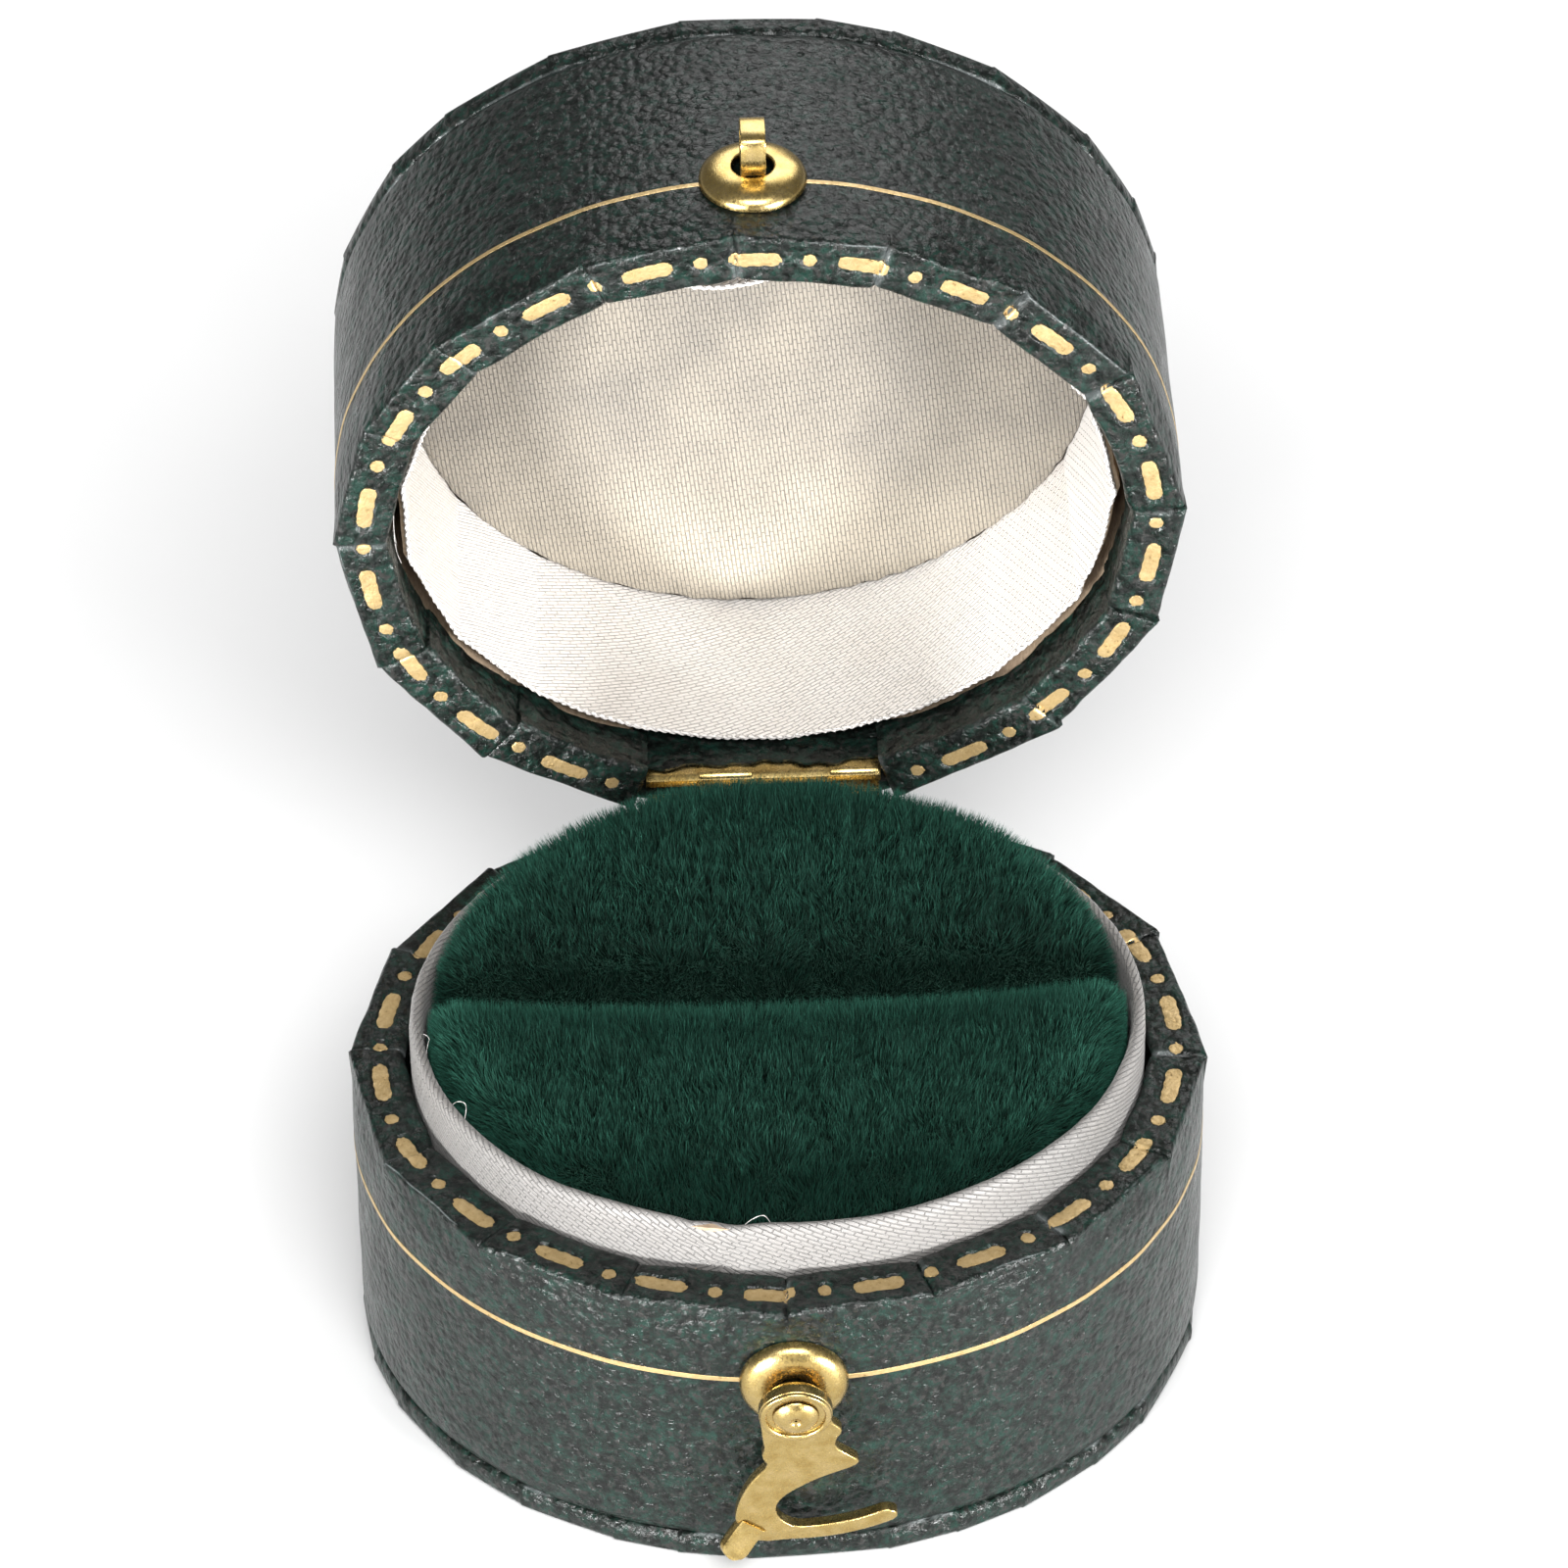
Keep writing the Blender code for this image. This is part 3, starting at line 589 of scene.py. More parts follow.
# The neck ribbon and the hoop are one white satin in shaded and lit copies: the hoop's is painted
# about three and a half times as bright, as painted light.
RIBBON_LOOK = satin("white_satin", (0.205, 0.197, 0.189), (0.196, 0.178, 0.163), 0.32, 28, 0.08)
HOOP_LOOK = satin("painted_lit_satin", (0.74, 0.71, 0.68), (0.68, 0.62, 0.56), 0.30, 28, 0.05)
# The cream satin's second colour is about twice as bright as its first; the disc's painted light
# mixes towards it.
DISC_LOOK = satin("cream_satin", (0.190, 0.173, 0.149), (0.39, 0.345, 0.276), 0.28, 84, 0.30)
PLUSH_LOOK = plush("green_plush")
BACKING_LOOK = backing("plush_backing")
BOARD_LOOK = board("pressed_board")
FOAM_LOOK = foam("cream_foam")


# The wrapped walls


class Wall:
    """One wall's leatherette: its tabs, folds and stamping, measured down from its rim.

    Angles are in radians from +X, insets in from the oval's outside, and drops are depths
    from the rim's plane into the wall.
    """

    def __init__(self, name, rim, foot, seams, first_dash, seed):
        self.name = name
        self.rim = rim
        self.into = math.copysign(1, foot - rim)
        self.height = abs(foot - rim)
        self.seed = seed
        notch = math.degrees(math.acos(NOTCH_HALF / HALF_WIDTH))
        self.edges = np.radians(sorted(seams + [notch, 180 - notch]))
        self.notch = int(np.argmin(abs(self.edges - math.radians(notch))))
        random = np.random.default_rng(seed)
        count = len(self.edges)
        self.proud = SEAM_PROUD * random.uniform(0.6, 1.2, (2, count))
        self.proud[1] -= TAB_TUCK
        self.seam_inset = SEAM_INSET + random.uniform(-0.05, 0.12, (2, count)) * MM
        self.seam_inset[1] += random.uniform(0.05, 0.35, count) * MM
        self.proud[:, self.notch] = self.proud[1, self.notch - 1] = 0
        self.proud[0, self.notch + 1] = 0
        self.seam_inset[1, self.notch - 1] = self.seam_inset[0, self.notch + 1] = NOTCH_CORNER
        self.start_drop = random.uniform(0.02, 0.07, count) * MM
        self.end_drop = random.uniform(0.18, 0.34, count) * MM
        self.start_drop[self.notch] = self.end_drop[self.notch] = NOTCH_DROP
        turn = np.linspace(0, TURN, 3601)
        self.turn = turn
        self.run = length_along(oval(turn, STAMP_INSET, 0))
        self.pitch = self.run[-1] / DASHES
        self.first = np.interp(math.radians(first_dash), turn, self.run)

    def tab(self, angle):
        """Each angle's tab, the angle itself within a turn of the first, and the tab's edges."""
        angle = np.mod(angle - self.edges[0], TURN) + self.edges[0]
        index = np.searchsorted(self.edges, angle, side="right") - 1
        following = (index + 1) % len(self.edges)
        low = self.edges[index]
        high = self.edges[following] + np.where(following == 0, TURN, 0)
        return index, angle, low, high

    def chord(self, angle, offsets):
        """The inset of the straight fold between each tab's two corners."""
        index, angle, low, high = self.tab(angle)
        first, second = OVAL_MEAN + offsets[0, index], OVAL_MEAN + offsets[1, index]
        across = first * np.sin(angle - low) + second * np.sin(high - angle)
        return OVAL_MEAN - first * second * np.sin(high - low) / across

    def outer(self, angle):
        """The outer fold's inset."""
        in_notch = self.tab(angle)[0] == self.notch
        fold = self.chord(angle, self.proud)
        return np.where(in_notch, 0.0, fold)

    def inner(self, angle):
        """The inner fold's inset, which in the hinge's notch is the flat recess."""
        in_notch = self.tab(angle)[0] == self.notch
        flat = HALF_DEPTH - NOTCH_BACK / np.maximum(np.sin(angle), 0.5)
        fold = np.minimum(self.chord(angle, -self.seam_inset), NECK_OUT - 0.08 * MM)
        return np.where(in_notch, flat, fold)

    def tab_drop(self, angle):
        """Each tab lies over the one before it and tucks under the next."""
        index, angle, low, high = self.tab(angle)
        along = (angle - low) / (high - low)
        return self.start_drop[index] + (self.end_drop - self.start_drop)[index] * along**1.5

    def at_seam(self, angle, width):
        """1 where two tabs meet, fading away over width."""
        _, angle, low, high = self.tab(angle)
        near = np.minimum(angle - low, high - angle) * OVAL_MEAN
        return np.exp(-((near / width) ** 2))

    def stamp(self, angle, inset):
        """1 inside a stamped dash or dot, fading to 0 just outside it."""
        run = np.interp(np.mod(angle, TURN), self.turn, self.run)
        step = (run - self.first) / self.pitch
        along = abs(step - np.round(step)) * self.pitch
        across = inset - STAMP_INSET
        straight = np.maximum(along - (DASH_LENGTH - DASH_WIDTH) / 2, 0)
        dash = np.hypot(straight, across) - DASH_WIDTH / 2
        dot = np.hypot(self.pitch / 2 - along, across) - DOT_RADIUS
        mask = 1 - smooth(-0.02 * MM, 0.14 * MM, np.minimum(dash, dot))
        near_hinge = abs(np.cos(angle)) * HALF_WIDTH < NOTCH_HALF + 1.2 * MM
        return np.where(near_hinge & (np.sin(angle) > 0), 0.0, mask)

    def ripple(self, angle, other, size, seed):
        return waves(on_circle(angle, other), size, self.seed + seed)

    def wall_inset(self, angle, drop):
        """The wall's surface: flat facets by the folds that fade down the wall, and a ripple."""
        fade = 1 - smooth(0, FACET_FADE, drop)
        ripple = 0.03 * MM * self.ripple(angle, drop, 6 * MM, 1)
        creases = 0.03 * MM * fade * self.ripple(angle, drop, 2.2 * MM, 2)
        curl = np.clip(1 - (self.height - drop) / (0.45 * MM), 0, 1) ** 2
        return self.outer(angle) * fade + ripple + creases + EDGE_CURL * curl

    def rim_drop(self, angle, inset):
        """The rim's surface: a tab's tilt, a ripple and the pressed stamping."""
        ripple = 0.035 * MM * (self.ripple(angle, inset, 2.6 * MM, 3) + 1)
        groove = 0.16 * MM * self.at_seam(angle, CREASE_WIDTH)
        return self.tab_drop(angle) + ripple + groove + STAMP_DEPTH * self.stamp(angle, inset)

    def place(self, angle, inset, drop):
        points = oval(angle, inset, self.rim + self.into * drop)
        return points if self.into < 0 else laid_open(points)

    def columns(self):
        """Angles across every tab, close together where two tabs meet."""
        spans = []
        for low, high in zip(self.edges, np.append(self.edges[1:], self.edges[0] + TURN)):
            count = int((high - low) * OVAL_MEAN / (0.2 * MM))
            spans.append(np.linspace(low + 0.0015, high - 0.0015, count))
        return np.concatenate(spans)

    def rows(self, angle):
        """(inset, drop, wear) rows from the foot, over the rim, down inside and back within."""
        top = self.tab_drop(angle)
        inner = self.inner(angle)
        rows = []
        for t in np.linspace(1, 0, 31) ** 1.25:
            drop = top + FOLD + (self.height - top - FOLD) * t
            rows.append((self.wall_inset(angle, drop), drop, 0))
        edge = rows[-1][0]
        for turn in np.linspace(0, math.pi / 2, 8)[1:-1]:
            inset = edge + FOLD * (1 - math.cos(turn))
            start = self.rim_drop(angle, edge + FOLD)
            # glint_weight marks the outer fold's middle row, and faintly the rim and inner fold,
            # for the leatherette's painted highlight.
            glint_weight = 1 if 0.7 < turn < 1.0 else 0.03
            rows.append((inset, start + FOLD * (1 - math.sin(turn)), glint_weight))
        for t in np.linspace(0, 1, 38):
            inset = edge + FOLD + (inner - INNER_FOLD - edge - FOLD) * t
            rows.append((inset, self.rim_drop(angle, inset), 0.02))
        end = rows[-1][1]
        for turn in np.linspace(0, math.pi / 2, 7)[1:]:
            inset = inner - INNER_FOLD * (1 - math.sin(turn))
            rows.append((inset, end + INNER_FOLD * (1 - math.cos(turn)), 0.05))
        last = rows[-1][1]
        wavy = TURN_IN + 0.25 * MM * self.ripple(angle, 0 * angle, 9 * MM, 4)
        for t in np.linspace(0, 1, 12)[1:]:
            drop = last + (np.maximum(wavy, last + 0.5 * MM) - last) * t
            sag = 0.09 * MM * self.ripple(angle, drop, 2.5 * MM, 5)
            rows.append((inner + (3.6 * MM - inner) * 0.5 * t - abs(sag), drop, 0))
        foot_inset, foot_drop, _ = rows[-1]
        rows.append((foot_inset - LEATHER, foot_drop, 0))
        rows.append((inner - INNER_FOLD - 0.2 * MM, top + FOLD + LEATHER, 0))
        rows.append((edge + FOLD + LEATHER, top + FOLD + LEATHER, 0))
        rows.append((rows[0][0] + LEATHER, rows[0][1], 0))
        return rows

    def cover(self):
        angle = self.columns()
        rows = self.rows(angle)
        points = np.stack([self.place(angle, inset, drop) for inset, drop, _ in rows])
        # Beside each seam the painted highlight is raised to 0.7 on the rows that carry any.
        seam = 0.7 * self.at_seam(angle, 0.25 * MM)
        glint_weight = np.stack([np.maximum(glint_weight, seam * (glint_weight > 0)) for _, _, glint_weight in rows])
        mesh = loft(self.name + "_leatherette", points, True, True)
        paint(mesh, "scuff_and_glint", glint_weight)
        return face_outwards(mesh)

    def stamped(self, centre, half_length, radius, columns):
        """One lens of foil, lying in its pressed hollow."""
        reach = np.linspace(-1, 1, columns)
        across = np.linspace(-1, 1, 9)
        cap = np.sqrt(np.maximum(1 - across**2, 0)) * radius
        wobble = 1 + 0.05 * RANDOM.normal(size=9)
        along = reach[None, :] * (half_length + cap * wobble)[:, None]
        run = np.mod(centre + along, self.run[-1])
        angle = np.interp(run, self.run, self.turn)
        inset = STAMP_INSET + radius * across[:, None] * (1 + 0.04 * np.sin(9 * reach))[None, :]
        lift = FOIL_LIFT * (1 - across[:, None] ** 8) * (1 - reach[None, :] ** 12)
        floor = self.rim_drop(angle, inset)
        top = self.place(angle, inset, floor - lift)
        under = self.place(angle, inset, floor + lift)
        points = np.concatenate([top, under[::-1]])
        return face_outwards(loft("foil", points, True, False))

    def stamping(self):
        """All of the rim's dashes and dots but those where the hinge is."""
        shapes = []
        half = (DASH_LENGTH - DASH_WIDTH) / 2
        for index in range(DASHES):
            for step, length, radius in ((0, half, DASH_WIDTH / 2), (0.5, 0.0, DOT_RADIUS)):
                centre = np.mod(self.first + (index + step) * self.pitch, self.run[-1])
                angle = np.interp(centre, self.run, self.turn)
                clear = NOTCH_HALF + 0.9 * MM + length
                if abs(math.cos(angle)) * HALF_WIDTH > clear or math.sin(angle) < 0:
                    shapes.append(self.stamped(centre, length, radius, 29 if length else 13))
        return joined(shapes)

    def gold_line(self):
        """The fine foil line round the wall."""
        angle = full_turn(720)
        rows = []
        for across, lift in ((-1, -0.02), (-0.8, 0.02), (0.8, 0.02), (1, -0.02), (0, -0.06)):
            drop = LINE_DROP + across * LINE_WIDTH / 2 + 0 * angle
            rows.append(self.place(angle, self.wall_inset(angle, drop) - lift * MM, drop))
        return face_outwards(loft("line", np.stack(rows), True, True))


def wrapped_panel(name, face, lip, seed):
    """The leatherette round the top or bottom panel, pleated where it turns over the edge."""
    random = np.random.default_rng(seed)
    pleats = [math.radians(8)]
    while pleats[-1] < TURN:
        pleats.append(pleats[-1] + random.uniform(0.14, 0.36))
    pleats[-1] = pleats[0] + TURN
    pleats = np.array(pleats)
    proud = random.uniform(0.0, 0.12, len(pleats)) * MM
    proud[-1] = proud[0]
    spans = [
        np.linspace(low + 0.002, high - 0.002, int((high - low) * OVAL_MEAN / (0.25 * MM)))
        for low, high in zip(pleats[:-1], pleats[1:])
    ]
    angle = np.concatenate(spans)
    index = np.searchsorted(pleats, angle, side="right") - 1
    low, high = pleats[index], pleats[index + 1]
    first, second = OVAL_MEAN + proud[index], OVAL_MEAN + proud[index + 1]
    across = first * np.sin(angle - low) + second * np.sin(high - angle)
    straight = 0.7 * (OVAL_MEAN - first * second * np.sin(high - low) / across)
    along = (angle - low) / (high - low)
    step = 0.09 * MM * along
    near_pleat = np.exp(-(np.minimum(along, 1 - along) * (high - low) / 0.03) ** 2)
    inward = math.copysign(1, lip - face)
    thick = abs(lip - face)
    round_place = on_circle(angle)
    wrinkle = waves(round_place, 1.6 * MM, seed + 1) * near_pleat
    rows = []
    for scale in (0.0, 0.25, 0.5, 0.7, 0.85, 0.94):
        dish = 0.05 * MM * waves(round_place * scale, 9 * MM, seed + 2)
        rows.append((scale, 0 * angle, 0.05 * MM + abs(dish)))
    for turn in np.linspace(0, math.pi / 2, 7):
        inset = straight + step + PANEL_FOLD * (1 - math.sin(turn))
        rows.append((1.0, inset, 0.02 * MM + PANEL_FOLD * (1 - math.cos(turn))))
    edge = 0.02 * MM + PANEL_FOLD
    for t in np.linspace(0, 1, 9)[1:]:
        sag = 0.06 * MM * wrinkle * math.sin(math.pi * t)
        drop = edge + (thick - edge) * t
        rows.append((1.0, (straight + step) * (1 - 0.4 * t) + sag + 0.35 * MM * t**4, drop))
    rows.append((1.0, straight + PANEL_TUCK, thick + 0 * angle))
    rows.append((1.0, straight + PANEL_TUCK, PANEL_UNDER + 0 * angle))
    rows += [(scale, 0 * angle, PANEL_UNDER + 0 * angle) for scale in (0.5, 0.0)]
    points = []
    for scale, inset, drop in rows:
        ring = oval(angle, inset, 0)
        ring[..., :2] *= scale
        ring[..., 2] = face + inward * drop
        points.append(ring)
    mesh = loft(name, np.stack(points), False, True)
    # Painted highlight: the crease row round the panel's lip is marked for the leatherette's
    # lighter glint colour.
    at_crease = np.array([scale * np.mean(drop) > 0.99 * thick for scale, _, drop in rows])
    paint(mesh, "scuff_and_glint", np.tile(at_crease[:, None], (1, len(angle))))
    return face_outwards(mesh)


def wrapped_shell(wall, body, face, lip):
    """A wall's leatherette, stamping and line, and its panel's leatherette."""

    def leathered(mesh, part):
        nodes = [f"{body}_{part}_cover"]
        name = f"{body}_{part}_leatherette"
        show(mesh, name, body, LEATHER_LOOK, nodes, sharp=50)

    leathered(wall.cover(), "wall")
    show(wall.stamping(), body + "_rim_stamping", body, FOIL_LOOK)
    show(wall.gold_line(), body + "_gold_line", body, FOIL_LOOK)
    panel = wrapped_panel("panel", face, lip, wall.seed + 20)
    if body == "lid":
        transformed(panel, laid_open)
    leathered(face_outwards(panel), "bottom" if body == "base" else "top")


# The ribbons and the padded disc


def ring_length(inset):
    """Many angles round the oval, and the length along it at an inset to each and to the end."""
    turn = np.linspace(0, TURN, 721)
    return turn[:-1], length_along(oval(turn, inset, 0))


def neck_ribbon():
    """White ribbon folded over the neck's card, its fold wavy and puckered at the front."""
    angle, run = ring_length(NECK_OUT)
    round_place = on_circle(angle)
    pucker = np.exp(-(((angle - math.radians(258)) / math.radians(6)) ** 2))
    top = NECK_TOP + 0.10 * MM + 0.06 * MM * waves(round_place, 14 * MM, 31) - 0.3 * MM * pucker
    profile = [(0.0, -5.0), (0.0, -4.0), (0.0, -3.3), (0.0, -2.6), (-0.01, -1.8), (-0.02, -1.0)]
    profile += [(0.03, -0.45), (0.14, -0.15), (0.30, -0.02), (0.50, 0.0), (0.70, -0.10)]
    profile += [(0.83, -0.35), (0.88, -0.8), (0.90, -1.6), (0.90, -3.0), (0.90, -6.0)]
    profile += [(0.72, -6.0), (0.72, -1.0), (0.18, -1.0), (0.18, -5.0)]
    rows = []
    for inward, rise in profile:
        creases = waves(on_circle(angle, rise * 2 * MM), 3.5 * MM, 33)
        creases *= 0.03 * MM + 0.22 * MM * pucker
        rows.append(oval(angle, NECK_OUT + inward * MM + abs(creases), top + rise * MM))
    lengths = np.cumsum([0] + [math.dist(a, b) for a, b in zip(profile, profile[1:] + profile[:1])])
    mesh = loft("ribbon", np.stack(rows), True, True, run, lengths * MM)
    mesh = face_outwards(mesh)
    ribbon = show(mesh, "neck_satin_ribbon", "base", RIBBON_LOOK, ["neck_ribbon"])


def facets(angle, seed, low, high):
    """The sagitta of irregular flats round a hoop, from 0 at their corners, and a painted shade for
    each flat, random from flat to flat.
    """
    random = np.random.default_rng(seed)
    corners = [0.0]
    while corners[-1] < TURN:
        corners.append(corners[-1] + random.uniform(low, high))
    corners[-1] = TURN
    corners = np.array(corners)
    index = np.clip(np.searchsorted(corners, angle, side="right") - 1, 0, len(corners) - 2)
    half = (corners[index + 1] - corners[index]) / 2
    middle = (corners[index + 1] + corners[index]) / 2
    painted_flat_shading = random.uniform(0, 1, len(corners))[index]
    return OVAL_MEAN * (1 - np.cos(half) / np.cos(angle - middle)), painted_flat_shading


def lid_hoop():
    """The ribbon hoop inside the lid, bent in flats, round by the hinge and loose at the front."""
    angle, run = ring_length(HOOP_INSET)
    depth = SATIN_FACE - LID_RIM
    sagitta, tint_and_painted_light = facets(angle, 41, 0.22, 0.46)
    calm = 1 - 0.85 * np.exp(-(((angle - math.pi / 2) / math.radians(45)) ** 2))
    flats = np.minimum(sagitta, HOOP_FLATS) * calm
    loose = np.exp(-(((angle - math.radians(266)) / math.radians(15)) ** 2))
    round_place = on_circle(angle)
    ragged = 0.05 * MM * waves(round_place, 5 * MM, 44)
    face, lengths = [], []
    for t in np.linspace(0, 1, 22):
        drop = HOOP_EDGE + (depth + 1.2 * MM - HOOP_EDGE) * t
        free = (1 - smooth(0, 0.45, t)) * loose
        ripple = 0.03 * MM * waves(on_circle(angle, drop), 4 * MM, 43)
        inset = HOOP_INSET + flats + abs(ripple) + 1.9 * MM * free
        face.append((inset, drop + ragged * (1 - t)))
        lengths.append(drop)
    edge_inset, edge_drop = face[0]
    back = [(inset - 0.12 * MM, drop) for inset, drop in face[::-1]]
    lengths += [lengths[-1] + drop for drop in lengths] + [3 * depth]
    points = [oval(angle, inset, LID_RIM + drop) for inset, drop in face + back]
    mesh = loft("hoop", laid_open(np.stack(points)), True, True, run, np.array(lengths))
    # Painted shade: each flat is darkened by its own random amount, as light would fall differently
    # on each, less so by the hinge.
    paint(mesh, "tint_and_painted_light", np.tile(0.6 * tint_and_painted_light * calm, len(points)))
    mesh = face_outwards(mesh)
    hoop = show(mesh, "lid_satin_hoop", "lid", HOOP_LOOK, ["lid_ribbon"])
    edge = laid_open(oval(angle, edge_inset - 0.02 * MM, LID_RIM + edge_drop - 0.03 * MM))
    braid = selvage("lid_hoop_selvage", "lid", edge, BRAID_RADIUS, BRAID_PITCH)
    card = [(inset - 0.16 * MM, drop) for inset, drop in face[1::4]]
    card += [(inset - 0.26 * MM, drop) for inset, drop in card[::-1]]
    rows = [oval(angle, inset, LID_RIM + drop) for inset, drop in card]
    mesh = face_outwards(loft("card", laid_open(np.stack(rows)), True, True))
    show(mesh, "lid_hoop_card", "lid", BOARD_LOOK, ["lid_ribbon_card"])


def tube(path, ahead, hint, radius):
    """Six rows of points along a path, radius(turn) out from it."""
    side = unit(np.cross(unit(ahead), hint))
    up = np.cross(side, unit(ahead))
    rows = [
        path + radius(turn) * (math.cos(turn) * side + math.sin(turn) * up) for turn in full_turn(6)
    ]
    return np.stack(rows)


def selvage(name, body, path, radius, pitch):
    """A fine braid along a closed path: a tube whose thickness beads along it."""
    ahead = np.roll(path, -1, axis=0) - np.roll(path, 1, axis=0)
    run = length_along(np.concatenate([path, path[:1]]))

    def bead(turn):
        return radius * (1 + 0.45 * np.sin(TURN * run[:-1] / pitch + turn))[:, None]

    grid = tube(path, ahead, [0, 1.0, 0], bead)
    lengths = np.linspace(0, TURN * radius, 7)
    mesh = loft(name, grid, True, True, run, lengths)
    return show(face_outwards(mesh), name, body, HOOP_LOOK)


def thread(name, body, path, radius):
    """One loose thread along an (angle, inset, height) path, in degrees and millimetres.

    Heights are from the lid's rim for the lid, and from the neck's top for the base.
    """
    path = softened(path, 3)
    points = oval(np.radians(path[:, 0]), path[:, 1] * MM, path[:, 2] * MM)
    if body == "lid":
        points[:, 2] += LID_RIM
        points = laid_open(points)
    else:
        points[:, 2] += NECK_TOP
    grid = tube(points, np.gradient(points, axis=0), [0.3, 0.5, 0.8], lambda turn: radius)
    ends = points[[0, -1]][None].repeat(6, 0)
    grid = np.concatenate([ends[:, :1], grid, ends[:, 1:]], axis=1)
    run, lengths = np.arange(grid.shape[1]) * 0.1 * MM, np.arange(7) * 0.02 * MM
    mesh = face_outwards(loft(name, grid, True, False, run, lengths))
    return show(mesh, name, body, HOOP_LOOK)


def loose_threads():
    """The threads that stick out of the neck ribbon and lie inside the lid's turned-in edge."""
    neck = [
        [(183, 4.6, -0.5), (184, 4.7, 0.1), (186, 5.1, 0.25), (187, 4.9, 0.1), (188, 4.7, -0.6)],
        [(203, 4.7, -0.4), (204, 4.9, 0.2), (205, 5.3, 0.2), (206, 5.2, -0.1), (207, 4.8, -0.7)],
        [(263, 4.7, -0.3), (264, 4.8, 0.1), (266, 5.2, 0.2), (267, 4.9, -0.3)],
    ]
    lid = [
        [(196, 3.81, 1.0), (190, 3.80, 1.9), (182, 3.81, 2.4), (176, 3.80, 2.1), (170, 3.81, 3.0)],
        [(193, 3.80, 1.6), (186, 3.81, 2.5), (178, 3.81, 2.6), (174, 3.80, 3.1)],
    ]
    for index, path in enumerate(neck):
        thread(f"neck_thread_{index}", "base", path, THREAD_RADIUS)
    for index, path in enumerate(lid):
        thread(f"lid_thread_{index}", "lid", path, THREAD_RADIUS)


def inflated(mesh, cap):
    """Blows a closed form up as cloth, at a larger size, and lets no point move past cap."""
    holder = bpy.data.objects.new("holder", mesh)
    remesh = holder.modifiers.new("even", "REMESH")
    remesh.mode = "VOXEL"
    remesh.voxel_size = VOXEL
    even = evaluated(holder)
    even.transform(Matrix.Scale(CLOTH_SCALE, 4))
    start = read(even.vertices, "co")
    swollen = linked(bpy.data.objects.new("swollen", even))
    cloth = swollen.modifiers.new("cloth", "CLOTH")
    cloth.settings.use_pressure = True
    cloth.settings.uniform_pressure_force = CLOTH_PRESSURE
    cloth.settings.effector_weights.gravity = 0
    cloth.point_cache.frame_start = 1
    cloth.point_cache.frame_end = CLOTH_STEPS
    for step in range(CLOTH_STEPS):
        bpy.context.scene.frame_set(step + 1)
    graph = bpy.context.evaluated_depsgraph_get()
    result = bpy.data.meshes.new_from_object(swollen.evaluated_get(graph))
    bpy.data.objects.remove(swollen)
    bpy.context.scene.frame_set(1)
    move = read(result.vertices, "co") - start
    reach = np.linalg.norm(move, axis=1, keepdims=True)
    move *= np.minimum(1, cap * CLOTH_SCALE / np.maximum(reach, 1e-9))
    capped = (start + move) / CLOTH_SCALE
    result.vertices.foreach_set("co", capped.ravel())
    result.update()
    return result


def subdivided(mesh):
    """A mesh with one level of subdivision."""
    holder = bpy.data.objects.new("holder", mesh)
    finer = holder.modifiers.new("finer", "SUBSURF")
    finer.levels = 1
    finer.render_levels = 1
    return evaluated(holder)


def satin_disc():
    """The cream satin disc: wadding under cloth that is tucked in all round its card."""
    angle = full_turn(180)
    depth = SATIN_FACE - LID_RIM
    back = 3.2 * MM
    rows = [(0.001, 0, 0.0), (0.3, 0, 0.0), (0.55, 0, 0.02), (0.75, 0, 0.08), (0.88, 0, 0.18)]
    rows += [(0.95, 0, 0.26), (1.0, 0.12, 0.45), (1.0, 0.0, 0.75), (1.0, 0.0, 1.8)]
    rows += [(1.0, 0.0, 3.2), (0.6, 0, 3.2), (0.001, 0, 3.2)]
    points = []
    for scale, inset, drop in rows:
        ring = oval(angle, DISC_INSET + inset * MM, 0)
        ring[..., :2] *= scale
        ring[..., 2] = LID_RIM + depth + min(drop * MM, back) + 0.2 * MM
        points.append(ring)
    mesh = face_outwards(loft("disc", np.stack(points), True, True))
    mesh = subdivided(inflated(mesh, DISC_SWELL))

    def gathered(place):
        turn = np.arctan2(place[:, 1] / HALF_DEPTH, place[:, 0] / HALF_WIDTH)
        reach = np.hypot(place[:, 0] / HALF_WIDTH, place[:, 1] / HALF_DEPTH)
        edge = smooth(0.70, 0.84, reach)
        pulled = waves(on_circle(turn), 2.6 * MM, 52) * 0.07 * MM * edge
        soft = waves(place[:, :2], 12 * MM, 53) * 0.08 * MM * (1 - edge)
        place[:, 2] += pulled + soft
        return laid_open(place)

    mesh = transformed(mesh, gathered)
    layer = mesh.uv_layers.new(name="weave")
    corner = read(mesh.loops, "vertex_index", 1, np.int32)[:, 0]
    places = read(mesh.vertices, "co")
    flat = places[corner][:, [0, 2]] / MM
    layer.data.foreach_set("uv", flat.astype(np.float32).ravel())
    # Painted light: the disc is painted brighter and yellower towards its lower part, nearer the
    # hinge.
    rise = (places[:, 2] - HINGE.z) / HALF_DEPTH
    paint(mesh, "tint_and_painted_light", 0.9 * (1 - smooth(0.0, 0.85, rise)))
    disc = show(
        mesh, "lid_satin_disc", "lid", DISC_LOOK, ["lid_lining_satin"], sharp=80
    )


# The ring pad


